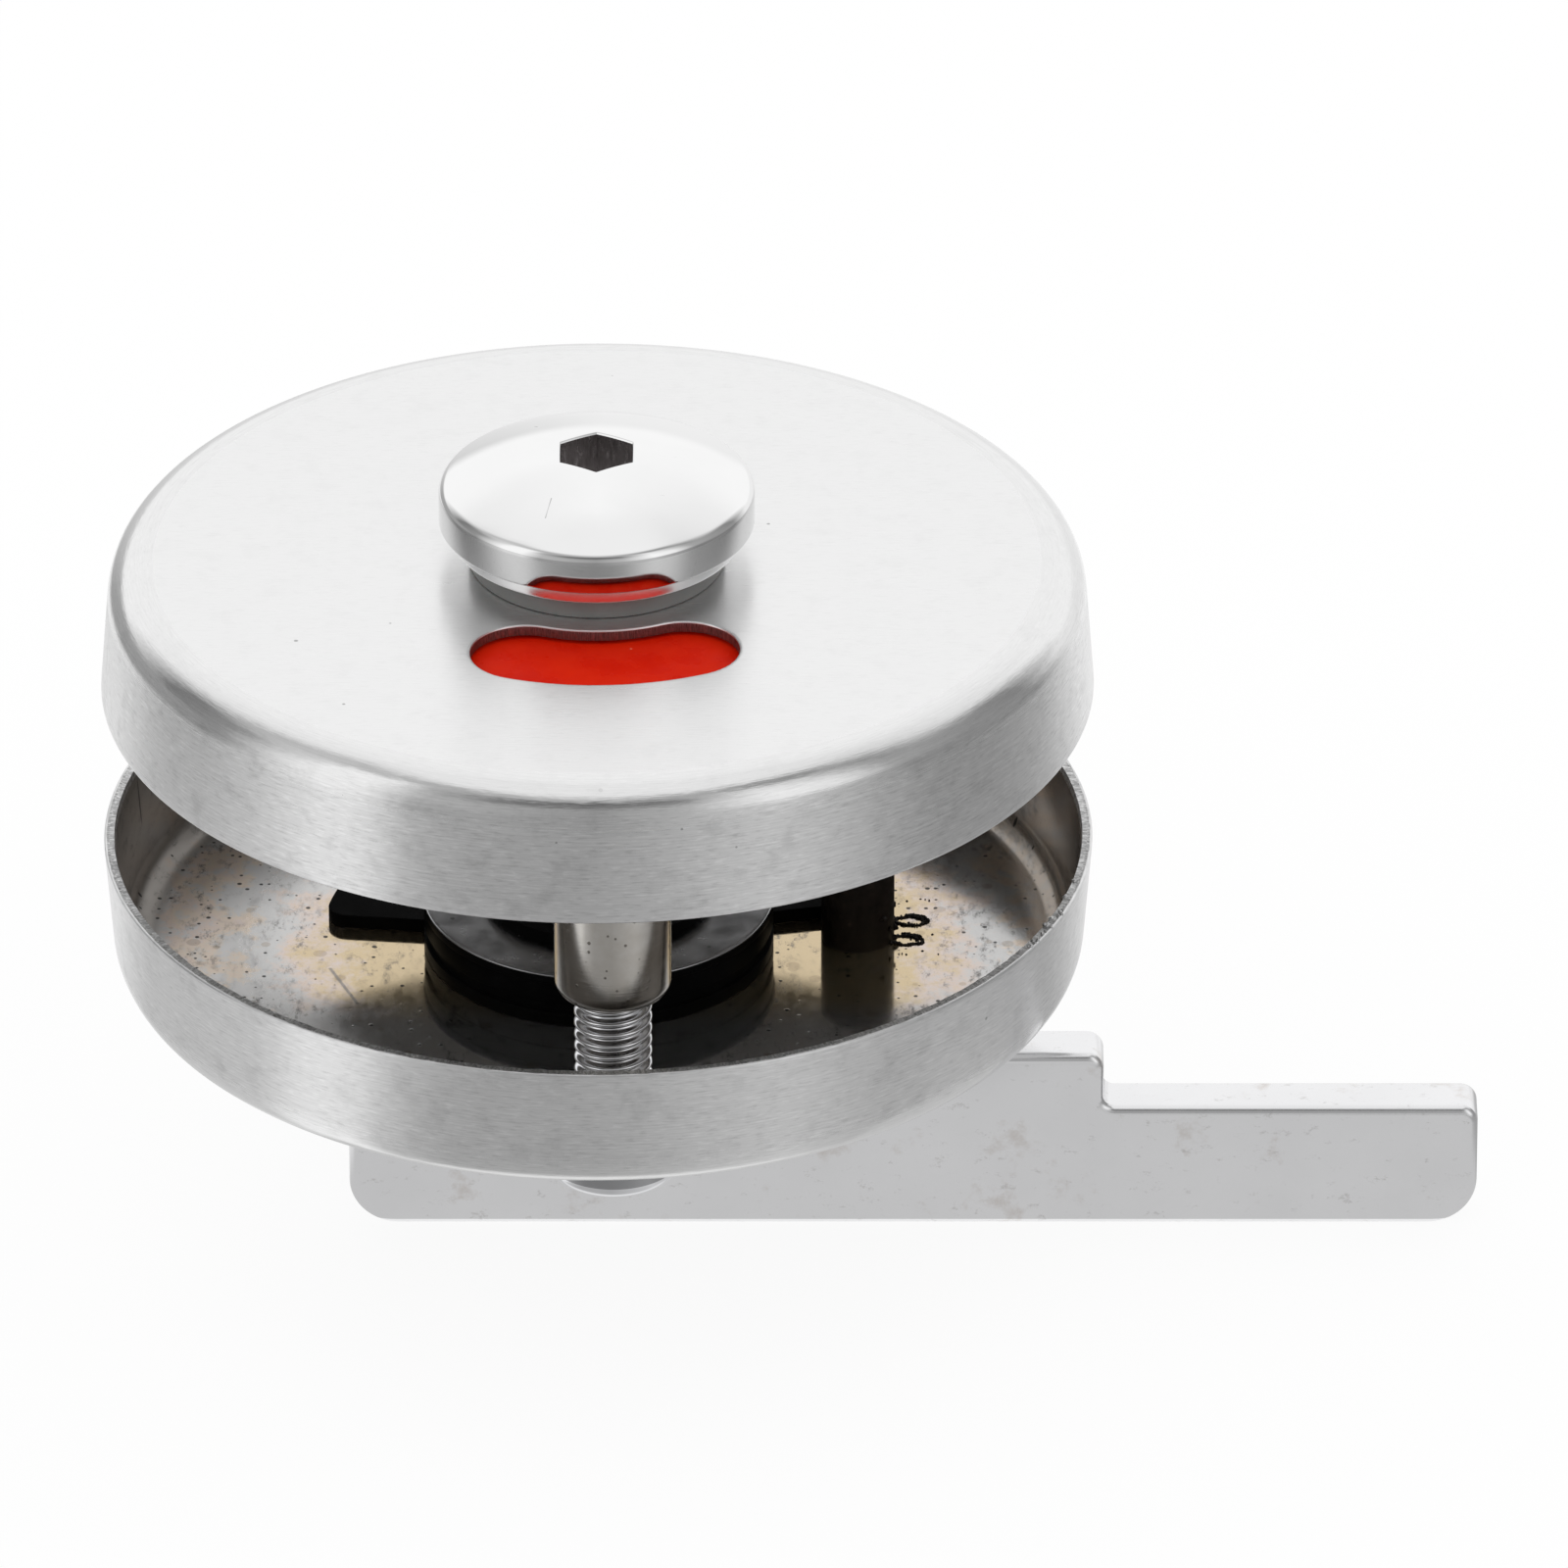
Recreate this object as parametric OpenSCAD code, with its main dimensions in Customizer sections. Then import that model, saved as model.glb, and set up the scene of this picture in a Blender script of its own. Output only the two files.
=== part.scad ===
// Indicator bolt for a toilet cubicle door. Two pressed roses clamp the panel between them.
// A flat lever under the inner rose turns a square spindle, and a coloured disc behind the
// window of the outer rose turns with it. Z runs along the spindle and is zero on the door's
// inner face, X runs along the lever in the locked place, and the window lies on the -Y side.

/* [Door] */
// Thickness of the door panel between the two rims
door_t = 12; // [10:0.5:18]

/* [Roses] */
// Diameter of each rose across its rim
rose_d = 70; // [64:1:90]
// Depth of each rose from its face to its rim
rose_depth = 9.9; // [8:0.1:14]
// Thickness of the pressed sheet
sheet_t = 0.8; // [0.6:0.1:1.2]
// Outside radius of the bend between face and wall
bend_r = 2.8; // [1.6:0.1:5]
// Angle by which the wall flares out towards the rim
flare = 4.5; // [0:0.5:8]
// Angle by which both roses are turned on the door from the locked lever
rose_turn = 2.8; // [-15:0.2:15]

/* [Window] */
// Width of the window along a radius
window_w = 7.8; // [5:0.1:10]
// Angle from the middle of the window to the centre of each round end
window_half_angle = 22; // [10:0.5:35]
// How far the coloured disc reaches past the edge of the window
window_cover = 1.6; // [0.2:0.05:2.5]

/* [Posts] */
// Distance from the rim of a rose to the axis of each post
post_inset = 10; // [8:0.5:13]
// Diameter of each post
post_d = 8.2; // [7.5:0.1:10]
// Length of each post from the inside of the outer rose to its tip
post_len = 20; // [16:0.5:26]
// Flat ring that is left round the thread inside the rounded tip of each post
post_tip_wall = 0.15; // [0.1:0.05:0.4]

/* [Screws] */
// Outside diameter of the screw thread
screw_d = 5.5; // [4:0.1:6]
// Length of each screw under its head
screw_len = 25; // [18:1:28]
// Diameter of each screw head
screw_head_d = 9.5; // [8:0.1:11]
// Height of the straight side of each screw head
screw_head_side = 3.1; // [0.8:0.1:4]
// Height of the dome of each screw head
screw_head_dome = 0.6; // [0.4:0.1:3]
// Radius of the edge between the side and the dome of each screw head
screw_head_edge_r = 0.4; // [0.2:0.1:0.6]
// Length of each arm-to-arm cut of the cross recess
recess_len = 5; // [4:0.1:6]
// Width of each cut of the cross recess
recess_w = 1.1; // [0.8:0.1:1.5]
// Depth of the cross recess
recess_depth = 1.9; // [1:0.1:2.4]

/* [Release button] */
// Diameter of the button
button_d = 22.2; // [18:0.1:26]
// Height of the straight side of the button
button_side = 2.8; // [2:0.1:5]
// Height of the dome above the side
button_dome = 2.8; // [1.5:0.1:4]
// Radius of the edge between side and dome
button_edge_r = 0.5; // [0.2:0.1:1]
// Size across the flats of the key socket
hex_af = 5; // [4:0.1:6]
// Depth of the key socket below the top of the dome
hex_depth = 3.2; // [2:0.1:3.8]
// Metal between the key socket and the spindle's tenon
hex_web = 0.9; // [0.5:0.1:1.2]
// Diameter of the steel washer under the button
button_washer_d = 20.4; // [16:0.1:22]
// Thickness of the steel washer under the button
button_washer_t = 1.2; // [0.8:0.1:2]
// Diameter of the nylon washer on the rose
friction_washer_d = 18; // [14:0.1:20]
// Thickness of the nylon washer on the rose
friction_washer_t = 1.75; // [0.5:0.05:2.5]

/* [Spindle] */
// Size of the square spindle across its flats
spindle_sq = 5; // [4:0.1:6]
// Diameter of the round journal in the outer rose
journal_d = 8; // [7:0.1:10]
// Diameter of the tenon that holds the button
tenon_d = 6; // [4:0.1:7]
// Free depth of the hub's socket below the spindle's tip
spindle_end_gap = 2; // [1:0.1:4]

/* [Indicator disc] */
// Thickness of the disc
disc_t = 0.8; // [0.5:0.1:1.5]
// Thickness of the coloured segments on the disc
segment_t = 0.25; // [0.15:0.05:0.5]
// Angle of bare disc between two coloured segments
segment_gap = 0.6; // [0.2:0.1:2]
// Outside diameter of the cone spring under the disc
spring_d = 14; // [12:0.1:18]
// Free height of the cone spring
spring_h = 1; // [0.7:0.1:1.5]
// Thickness of the cone spring's sheet
spring_t = 0.4; // [0.2:0.05:0.6]
// Outside diameter of the clip on the spindle
clip_d = 12.4; // [10:0.1:15]
// Thickness of the clip on the spindle
clip_t = 0.8; // [0.5:0.1:1.2]

/* [Stop] */
// Travel of the lever between its two stops
lever_travel = 180; // [90:10:180]
// Diameter of the stop pin on the inner rose
pin_d = 5.2; // [4:0.1:6]
// Height of the stop pin
pin_h = 6.5; // [4:0.1:9]
// Chamfer at the top of the stop pin
pin_chamfer = 0.4; // [0.2:0.1:0.8]
// Overlap of the cam past the axis of the stop pin
pin_reach = 1.2; // [0.5:0.1:2]
// Thickness of the stop cam
cam_t = 1.6; // [1.2:0.1:2.5]
// Height of the drum on the cam
drum_h = 1.4; // [0.8:0.1:3]
// Thickness of the cover washer on the drum
cover_t = 0.8; // [0.5:0.1:1.5]
// Distance by which the cover washer overhangs the drum
cover_lip = 0.1; // [0.05:0.05:0.5]
// Outside diameter of the retaining ring on the hub
circlip_d = 16.4; // [15:0.1:19]
// Thickness of the retaining ring on the hub
circlip_t = 0.8; // [0.5:0.1:1.2]
// Depth of the retaining ring's groove
circlip_groove = 0.8; // [0.4:0.1:1]

/* [Hub] */
// Diameter of the hub where it turns in the inner rose
hub_d = 12; // [11:0.1:14]
// Size across the two flats that drive the cam
hub_key_af = 9; // [8:0.1:10]
// Height of the hub above the retaining ring
hub_top_h = 0.8; // [0.5:0.1:1.5]
// Diameter of the hub's collar under the rose
collar_d = 17; // [16:0.1:20]
// Size across the flats of the collar where the rivet sits
collar_af = 14; // [12:0.1:15]
// Distance from the face of the inner rose to the top of the lever
lever_drop = 7.4; // [6:0.1:10]
// Metal between the spindle's socket and the lever
socket_web = 1; // [0.6:0.1:2]
// Depth of the slot that straddles the lever
cheek_h = 5.2; // [4:0.1:6]
// Diameter of the bush's sleeve in the inner rose
bush_d = 14; // [13.5:0.1:16]
// Diameter of the bush's flange under the inner rose
bush_flange_d = 19; // [17.5:0.1:22]
// Thickness of the bush's flange
bush_flange_t = 0.8; // [0.5:0.1:1.5]
// Diameter of the thrust washer
thrust_d = 18; // [16:0.1:20]
// Thickness of the thrust washer
thrust_t = 0.6; // [0.4:0.1:1]

/* [Lever] */
// Length of the lever from the axis to its tip
lever_reach = 62.6; // [45:0.1:80]
// Length of the lever behind the axis
lever_tail = 17.9; // [12:0.1:25]
// Thickness of the lever
lever_t = 4; // [3:0.1:5]
// Height of the lever under the rose
lever_h = 13.9; // [12:0.1:18]
// Distance from the axis to the step in the lever
step_x = 35.9; // [25:0.1:42]
// Height of the step
step_h = 4.3; // [2:0.1:6]
// Radius of the two lower corners
low_corner_r = 3.5; // [1:0.1:5]
// Radius of the upper corners
top_corner_r = 1.2; // [0.5:0.1:2]
// Radius of the inner corner at the step
step_r = 0.8; // [0.3:0.1:1.5]
// Diameter of the rivet through hub and lever
rivet_d = 3.5; // [2.5:0.1:4]
// Diameter of the rivet's heads
rivet_head_d = 6; // [5:0.1:7]
// Height of the rivet's heads
rivet_head_h = 1.3; // [0.8:0.1:2]

/* [Fits] */
// Radial play of the hub, the spindle's journal and the screws in their holes
running_fit = 0.05; // [0.02:0.01:0.08]
// Play on each side of pieces that slide over one another when they are put together
assembly_fit = 0.1; // [0.05:0.01:0.15]
// Play round each screw where it passes through the inner rose
screw_hole_play = 0.25; // [0.1:0.05:0.6]
// Gap between faces that turn past one another
turning_gap = 0.3; // [0.2:0.05:0.5]
// Gap between washers that bear on one another
bearing_gap = 0.05; // [0.02:0.01:0.1]
// Distance from the indicator disc to the posts
disc_post_gap = 0.7; // [0.4:0.1:1.5]
// Distance from the stop cam to the screws
cam_screw_gap = 2.65; // [1:0.05:4]
// Distance from the cover washer to the stop pin
cover_pin_gap = 3.3; // [1:0.1:4]

/* [Hidden] */

$fn = 96;

// Extra length of a cutting shape past the surface that it cuts
cut = 1;
// Amount by which the round ends of the window stand proud of its long sides, so that the outlines cross
end_proud = 0.02;

// Heights of the inner rose and of what stands on its floor
inner_face_z = -rose_depth;
inner_floor_z = inner_face_z + sheet_t;
cam_z = inner_floor_z + turning_gap;
drum_z = cam_z + cam_t;
cover_z = drum_z + drum_h;
circlip_z = cover_z + cover_t;
hub_top_z = circlip_z + circlip_t + hub_top_h;

// Heights of what hangs under the inner rose
bush_bottom_z = inner_face_z - bush_flange_t;
thrust_z = bush_bottom_z - bearing_gap - thrust_t;
lever_top_z = inner_face_z - lever_drop;
lever_bottom_z = lever_top_z - lever_h;
hub_bottom_z = lever_top_z - cheek_h;
rivet_z = lever_top_z - cheek_h / 2;
socket_floor_z = lever_top_z + socket_web;

// Heights of the outer rose, and of the button above and the disc below its face
outer_face_z = door_t + rose_depth;
outer_inside_z = outer_face_z - sheet_t;
friction_z = outer_face_z + bearing_gap;
button_washer_z = friction_z + friction_washer_t;
button_z = button_washer_z + button_washer_t;
segment_z = outer_inside_z - turning_gap - segment_t;
disc_z = segment_z - disc_t;
spring_z = disc_z - spring_h;
clip_z = spring_z - clip_t;
spindle_tip_z = socket_floor_z + spindle_end_gap;
tenon_h = button_side + button_dome - hex_depth - hex_web;

// Radii that follow from the rim inwards
rose_r = rose_d / 2;
post_r = rose_r - post_inset;
disc_r = post_r - post_d / 2 - disc_post_gap;
window_out_r = disc_r - window_cover;
window_in_r = window_out_r - window_w;
window_mid_r = (window_in_r + window_out_r) / 2;
segment_in_r = window_in_r - window_cover;
cam_r = post_r - screw_d / 2 - cam_screw_gap;
pin_r = cam_r - pin_reach;
cover_r = pin_r - pin_d / 2 - cover_pin_gap;
drum_r = cover_r - cover_lip;

// Bore of each post, and the rounding of its tip
post_bore_d = screw_d + 2 * running_fit;
post_tip_r = (post_d - post_bore_d) / 2 - post_tip_wall;

// Radius at which the bend of a rose starts, so that the flared wall ends at the rim
bend_x = rose_r - bend_r * cos(flare) - (rose_depth - bend_r + bend_r * sin(flare)) * tan(flare);

// Sector of the stop cam that leaves the pin free over the lever's travel
pin_shadow = asin((pin_d / 2 + turning_gap) / pin_r);
cam_start = rose_turn + pin_shadow;
cam_sweep = 360 - lever_travel - 2 * pin_shadow;

// Corner-to-corner radius of the square spindle, and the groove that takes its clip
spindle_corner_r = spindle_sq / sqrt(2);
clip_groove_r = (spindle_sq / 2 + spindle_corner_r) / 2;
// Angle of ring that is left once the mouth of a clip or circlip is open
clip_wrap = 285;
circlip_wrap = 325;

// Radius of a sphere whose cap has this width and height
function cap_r(width, height) = (pow(width / 2, 2) + pow(height, 2)) / (2 * height);

// Flat ring with its underside at z = 0
module washer(outside_d, inside_d, thickness) {
    difference() {
        cylinder(d = outside_d, h = thickness);
        translate([0, 0, -cut])
            cylinder(d = inside_d, h = thickness + 2 * cut);
    }
}

// Part of a flat ring between two angles
module ring_sector(inside_r, outside_r, thickness, start, sweep) {
    rotate([0, 0, start])
        rotate_extrude(angle = sweep)
            translate([inside_r, 0])
                square([outside_r - inside_r, thickness]);
}

// Half section of a disc with a straight side, a rounded edge and a domed top
module domed_profile(diameter, side, dome, edge_r) {
    radius = cap_r(diameter, dome);
    centre_y = side + dome - radius;
    edge_x = diameter / 2 - edge_r;
    edge_y = centre_y + sqrt(pow(radius - edge_r, 2) - pow(edge_x, 2));
    square([diameter / 2, edge_y]);
    translate([edge_x, edge_y])
        circle(r = edge_r);
    intersection() {
        translate([0, centre_y])
            circle(r = radius);
        polygon([[0, 0], [edge_x, 0], [edge_x, edge_y],
                 [edge_x + (edge_x * edge_r) / (radius - edge_r), side + dome], [0, side + dome]]);
    }
}

// Half section of the inside or outside of a rose, with its face at y = 0 and its rim upwards
module rose_outline(inset, top) {
    round_r = bend_r - inset;
    touch = [bend_x + round_r * cos(flare), bend_r - round_r * sin(flare)];
    top_x = touch[0] + (top - touch[1]) * tan(flare);
    polygon([[0, inset], [bend_x, inset], [bend_x, bend_r], touch, [top_x, top], [0, top]]);
    translate([bend_x, bend_r])
        intersection() {
            circle(r = round_r);
            translate([0, -bend_r])
                square([bend_r, bend_r]);
        }
}

// Pressed cup with its face at z = 0 and its rim upwards
module rose_shell() {
    difference() {
        rotate_extrude()
            rose_outline(0, rose_depth);
        rotate_extrude()
            rose_outline(sheet_t, rose_depth + cut);
    }
}

// Outline of the kidney-shaped window along the +X side: a piece of a ring with round ends
module window_outline() {
    reach = 2 * window_out_r;
    spread = reach * tan(window_half_angle);
    intersection() {
        difference() {
            circle(r = window_out_r);
            circle(r = window_in_r);
        }
        polygon([[0, 0], [reach, -spread], [reach, spread]]);
    }
    for (side = [-1, 1])
        rotate(side * window_half_angle)
            translate([window_mid_r, 0])
                circle(d = window_w + 2 * end_proud);
}

// Slot that follows the disc, cut through the outer rose's face
module window_cut() {
    translate([0, 0, outer_inside_z - cut])
        rotate([0, 0, rose_turn - 90])
            linear_extrude(height = sheet_t + 2 * cut)
                window_outline();
}

// Round bar with two flats, which drives what sits on the hub
module hub_key(play, height) {
    intersection() {
        cylinder(d = hub_d + 2 * play, h = height);
        translate([-hub_d, -hub_key_af / 2 - play, 0])
            cube([2 * hub_d, hub_key_af + 2 * play, height]);
    }
}

// Square bar along Z with its lower end at z = 0
module square_bar(size, height) {
    translate([-size / 2, -size / 2, 0])
        cube([size, size, height]);
}

// What is left over when a square corner at the origin is rounded into the first quadrant
module corner_waste(radius) {
    difference() {
        translate([-cut, -cut])
            square([radius + cut, radius + cut]);
        translate([radius, radius])
            circle(r = radius);
    }
}

// Place of the front fixing (side -1) or of the rear one (side 1), at this height
module at_fixing(side, height) {
    rotate([0, 0, rose_turn])
        translate([0, side * post_r, height])
            children();
}

module inner_rose() {
    color("silver")
        difference() {
            translate([0, 0, inner_face_z])
                rose_shell();
            translate([0, 0, inner_face_z - cut])
                cylinder(d = bush_d + 2 * running_fit, h = sheet_t + 2 * cut);
            for (side = [-1, 1])
                at_fixing(side, inner_face_z - cut)
                    cylinder(d = screw_d + 2 * screw_hole_play, h = sheet_t + 2 * cut);
        }
}

module outer_rose() {
    color("silver")
        difference() {
            translate([0, 0, outer_face_z])
                mirror([0, 0, 1])
                    rose_shell();
            window_cut();
            translate([0, 0, outer_inside_z - cut])
                cylinder(d = journal_d + 2 * running_fit, h = sheet_t + 2 * cut);
        }
}

// Flanged sleeve in which the hub turns
module hub_bush() {
    color("whitesmoke")
        difference() {
            union() {
                translate([0, 0, bush_bottom_z])
                    cylinder(d = bush_flange_d, h = bush_flange_t);
                translate([0, 0, inner_face_z])
                    cylinder(d = bush_d, h = sheet_t);
            }
            translate([0, 0, bush_bottom_z - cut])
                cylinder(d = hub_d + 2 * running_fit, h = bush_flange_t + sheet_t + 2 * cut);
        }
}

// Peg welded to the floor of the inner rose
module stop_pin() {
    color("dimgray")
        rotate([0, 0, rose_turn])
            translate([pin_r, 0, inner_floor_z]) {
                cylinder(d = pin_d, h = pin_h - pin_chamfer);
                translate([0, 0, pin_h - pin_chamfer])
                    cylinder(d1 = pin_d, d2 = pin_d - 2 * pin_chamfer, h = pin_chamfer);
            }
}

// Round-headed screw, pointing upwards, with the underside of its head at z = 0
module clamp_screw() {
    head_h = screw_head_side + screw_head_dome;
    cylinder(d = screw_d, h = screw_len);
    difference() {
        mirror([0, 0, 1])
            rotate_extrude()
                domed_profile(screw_head_d, screw_head_side, screw_head_dome, screw_head_edge_r);
        for (turn = [0, 90])
            rotate([0, 0, turn])
                translate([-recess_len / 2, -recess_w / 2, -head_h - cut])
                    cube([recess_len, recess_w, recess_depth + cut]);
    }
}

module front_screw() {
    color("gainsboro")
        at_fixing(-1, inner_face_z)
            clamp_screw();
}

module rear_screw() {
    color("gainsboro")
        at_fixing(1, inner_face_z)
            clamp_screw();
}

// Threaded post that hangs from the inside of the outer rose, with its rounded tip at z = 0
module clamp_post() {
    rotate_extrude()
        difference() {
            translate([post_bore_d / 2, 0])
                square([(post_d - post_bore_d) / 2, post_len]);
            translate([post_d / 2, 0])
                mirror([1, 0])
                    corner_waste(post_tip_r);
        }
}

module front_post() {
    color("rosybrown")
        at_fixing(-1, outer_inside_z - post_len)
            clamp_post();
}

module rear_post() {
    color("rosybrown")
        at_fixing(1, outer_inside_z - post_len)
            clamp_post();
}

// Turned hub: a keyed top, a journal in the bush and a slotted collar that straddles the lever
module lever_hub() {
    collar_top_z = thrust_z;
    color("lightgray")
        difference() {
            union() {
                intersection() {
                    translate([0, 0, hub_bottom_z])
                        cylinder(d = collar_d, h = collar_top_z - hub_bottom_z);
                    translate([-collar_d, -collar_af / 2, hub_bottom_z])
                        cube([2 * collar_d, collar_af, collar_top_z - hub_bottom_z]);
                }
                translate([0, 0, collar_top_z])
                    cylinder(d = hub_d, h = cam_z - collar_top_z);
                translate([0, 0, cam_z])
                    hub_key(0, hub_top_z - cam_z);
            }
            translate([0, 0, circlip_z])
                washer(hub_d + 2 * cut, hub_d - 2 * circlip_groove, circlip_t);
            translate([0, 0, socket_floor_z])
                square_bar(spindle_sq + 2 * assembly_fit, hub_top_z - socket_floor_z + cut);
            translate([-collar_d, -lever_t / 2 - running_fit, hub_bottom_z - cut])
                cube([2 * collar_d, lever_t + 2 * running_fit, cheek_h + cut]);
            translate([0, collar_af, rivet_z])
                rotate([90, 0, 0])
                    cylinder(d = rivet_d + 2 * running_fit, h = 2 * collar_af);
        }
}

// Outline of the lever seen from its front, with the axis at x = 0 and its lower edge at y = 0
module lever_outline() {
    arm_h = lever_h - step_h;
    difference() {
        translate([-lever_tail, 0])
            square([lever_tail + lever_reach, lever_h]);
        translate([step_x, arm_h])
            square([lever_reach, step_h + cut]);
        translate([-lever_tail, 0])
            corner_waste(low_corner_r);
        translate([lever_reach, 0])
            mirror([1, 0])
                corner_waste(low_corner_r);
        translate([-lever_tail, lever_h])
            mirror([0, 1])
                corner_waste(top_corner_r);
        translate([step_x, lever_h])
            rotate(180)
                corner_waste(top_corner_r);
        translate([lever_reach, arm_h])
            rotate(180)
                corner_waste(top_corner_r);
    }
    translate([step_x, arm_h])
        difference() {
            square(step_r);
            translate([step_r, step_r])
                circle(r = step_r);
        }
}

module lever_bar() {
    color("gainsboro")
        difference() {
            translate([0, lever_t / 2, lever_bottom_z])
                rotate([90, 0, 0])
                    linear_extrude(height = lever_t)
                        lever_outline();
            translate([0, lever_t, rivet_z])
                rotate([90, 0, 0])
                    cylinder(d = rivet_d + 2 * running_fit, h = 2 * lever_t);
        }
}

// Rivet along Y with a domed head on each flat of the collar
module lever_rivet() {
    head_side = rivet_head_h / 4;
    color("silver")
        translate([0, 0, rivet_z])
            for (turn = [90, -90])
                rotate([turn, 0, 0]) {
                    cylinder(d = rivet_d, h = collar_af / 2);
                    translate([0, 0, collar_af / 2])
                        rotate_extrude()
                            domed_profile(rivet_head_d, head_side, rivet_head_h - head_side, head_side / 2);
                }
}

module thrust_washer() {
    color("gold")
        translate([0, 0, thrust_z])
            washer(thrust_d, hub_d + 2 * assembly_fit, thrust_t);
}

// Outline of the stop cam: a round middle and a wing, cut from a larger circle by a wedge
module cam_outline() {
    wedge = [for (part = [0 : 0.25 : 1])
        let (angle = cam_start + part * cam_sweep)
            2 * cam_r * [cos(angle), sin(angle)]];
    circle(r = drum_r);
    intersection() {
        circle(r = cam_r);
        polygon(concat([[0, 0]], wedge));
    }
}

// Plate with a half-moon wing whose two edges meet the stop pin
module stop_cam() {
    color("black")
        translate([0, 0, cam_z])
            difference() {
                linear_extrude(height = cam_t)
                    cam_outline();
                translate([0, 0, -cut])
                    hub_key(assembly_fit, cam_t + 2 * cut);
            }
}

module cam_drum() {
    color("black")
        translate([0, 0, drum_z])
            difference() {
                cylinder(r = drum_r, h = drum_h);
                translate([0, 0, -cut])
                    hub_key(assembly_fit, drum_h + 2 * cut);
            }
}

module cover_washer() {
    color("lightsteelblue")
        translate([0, 0, cover_z])
            difference() {
                cylinder(r = cover_r, h = cover_t);
                translate([0, 0, -cut])
                    hub_key(assembly_fit, cover_t + 2 * cut);
            }
}

// Open ring that snaps into the hub's groove, with its mouth to the rear
module hub_circlip() {
    color("darkslategray")
        translate([0, 0, circlip_z])
            ring_sector(hub_d / 2 - circlip_groove + running_fit, circlip_d / 2, circlip_t,
                        270 - circlip_wrap / 2, circlip_wrap);
}

// Domed head with a hexagon key socket, held on the spindle's tenon
module release_button() {
    top = button_side + button_dome;
    color("white")
        translate([0, 0, button_z])
            difference() {
                rotate_extrude()
                    domed_profile(button_d, button_side, button_dome, button_edge_r);
                translate([0, 0, top - hex_depth])
                    rotate([0, 0, 30])
                        cylinder(d = hex_af / cos(30), h = hex_depth + cut, $fn = 6);
                translate([0, 0, -cut])
                    cylinder(d = tenon_d + 2 * running_fit, h = tenon_h + cut);
            }
}

module button_washer() {
    color("lightgray")
        translate([0, 0, button_washer_z])
            washer(button_washer_d, journal_d + 2 * assembly_fit, button_washer_t);
}

module friction_washer() {
    color("dimgray")
        translate([0, 0, friction_z])
            washer(friction_washer_d, journal_d + 2 * assembly_fit, friction_washer_t);
}

// Square bar with a round journal and a tenon at its upper end
module spindle() {
    shoulder_z = disc_z + disc_t;
    color("darkgray")
        difference() {
            union() {
                translate([0, 0, spindle_tip_z])
                    square_bar(spindle_sq, shoulder_z - spindle_tip_z);
                translate([0, 0, shoulder_z])
                    cylinder(d = journal_d, h = button_z - shoulder_z);
                translate([0, 0, button_z])
                    cylinder(d = tenon_d, h = tenon_h);
            }
            translate([0, 0, clip_z])
                washer(2 * spindle_corner_r + 2 * cut, 2 * clip_groove_r, clip_t);
        }
}

module indicator_disc() {
    color("white")
        translate([0, 0, disc_z])
            difference() {
                cylinder(r = disc_r, h = disc_t);
                translate([0, 0, -cut])
                    square_bar(spindle_sq + 2 * running_fit, disc_t + 2 * cut);
            }
}

// Two opposite quarters of colour on the disc, the first one centred on this angle
module colour_segments(middle) {
    sweep = 90 - segment_gap;
    translate([0, 0, segment_z])
        for (turn = [0, 180])
            ring_sector(segment_in_r, disc_r, segment_t, middle + turn - sweep / 2, sweep);
}

module red_segments() {
    color("red")
        colour_segments(rose_turn - 90);
}

module green_segments() {
    color("green")
        colour_segments(rose_turn);
}

// Dished spring that draws the button down on the rose
module cone_spring() {
    inside_r = spindle_corner_r + assembly_fit;
    color("slategray")
        translate([0, 0, spring_z])
            rotate_extrude()
                polygon([[inside_r, 0], [spring_d / 2, spring_h - spring_t],
                         [spring_d / 2, spring_h], [inside_r, spring_t]]);
}

// Open ring that snaps into the corners of the spindle under the spring
module spindle_clip() {
    color("darkslategray")
        translate([0, 0, clip_z])
            ring_sector(clip_groove_r + running_fit, clip_d / 2, clip_t, 270 - clip_wrap / 2, clip_wrap);
}

inner_rose();
hub_bush();
stop_pin();
front_screw();
rear_screw();
lever_hub();
lever_bar();
lever_rivet();
thrust_washer();
stop_cam();
cam_drum();
cover_washer();
hub_circlip();
outer_rose();
front_post();
rear_post();
release_button();
button_washer();
friction_washer();
spindle();
indicator_disc();
red_segments();
green_segments();
cone_spring();
spindle_clip();
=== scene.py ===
import math
import random

import bmesh
import bpy
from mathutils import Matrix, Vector, noise


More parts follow.
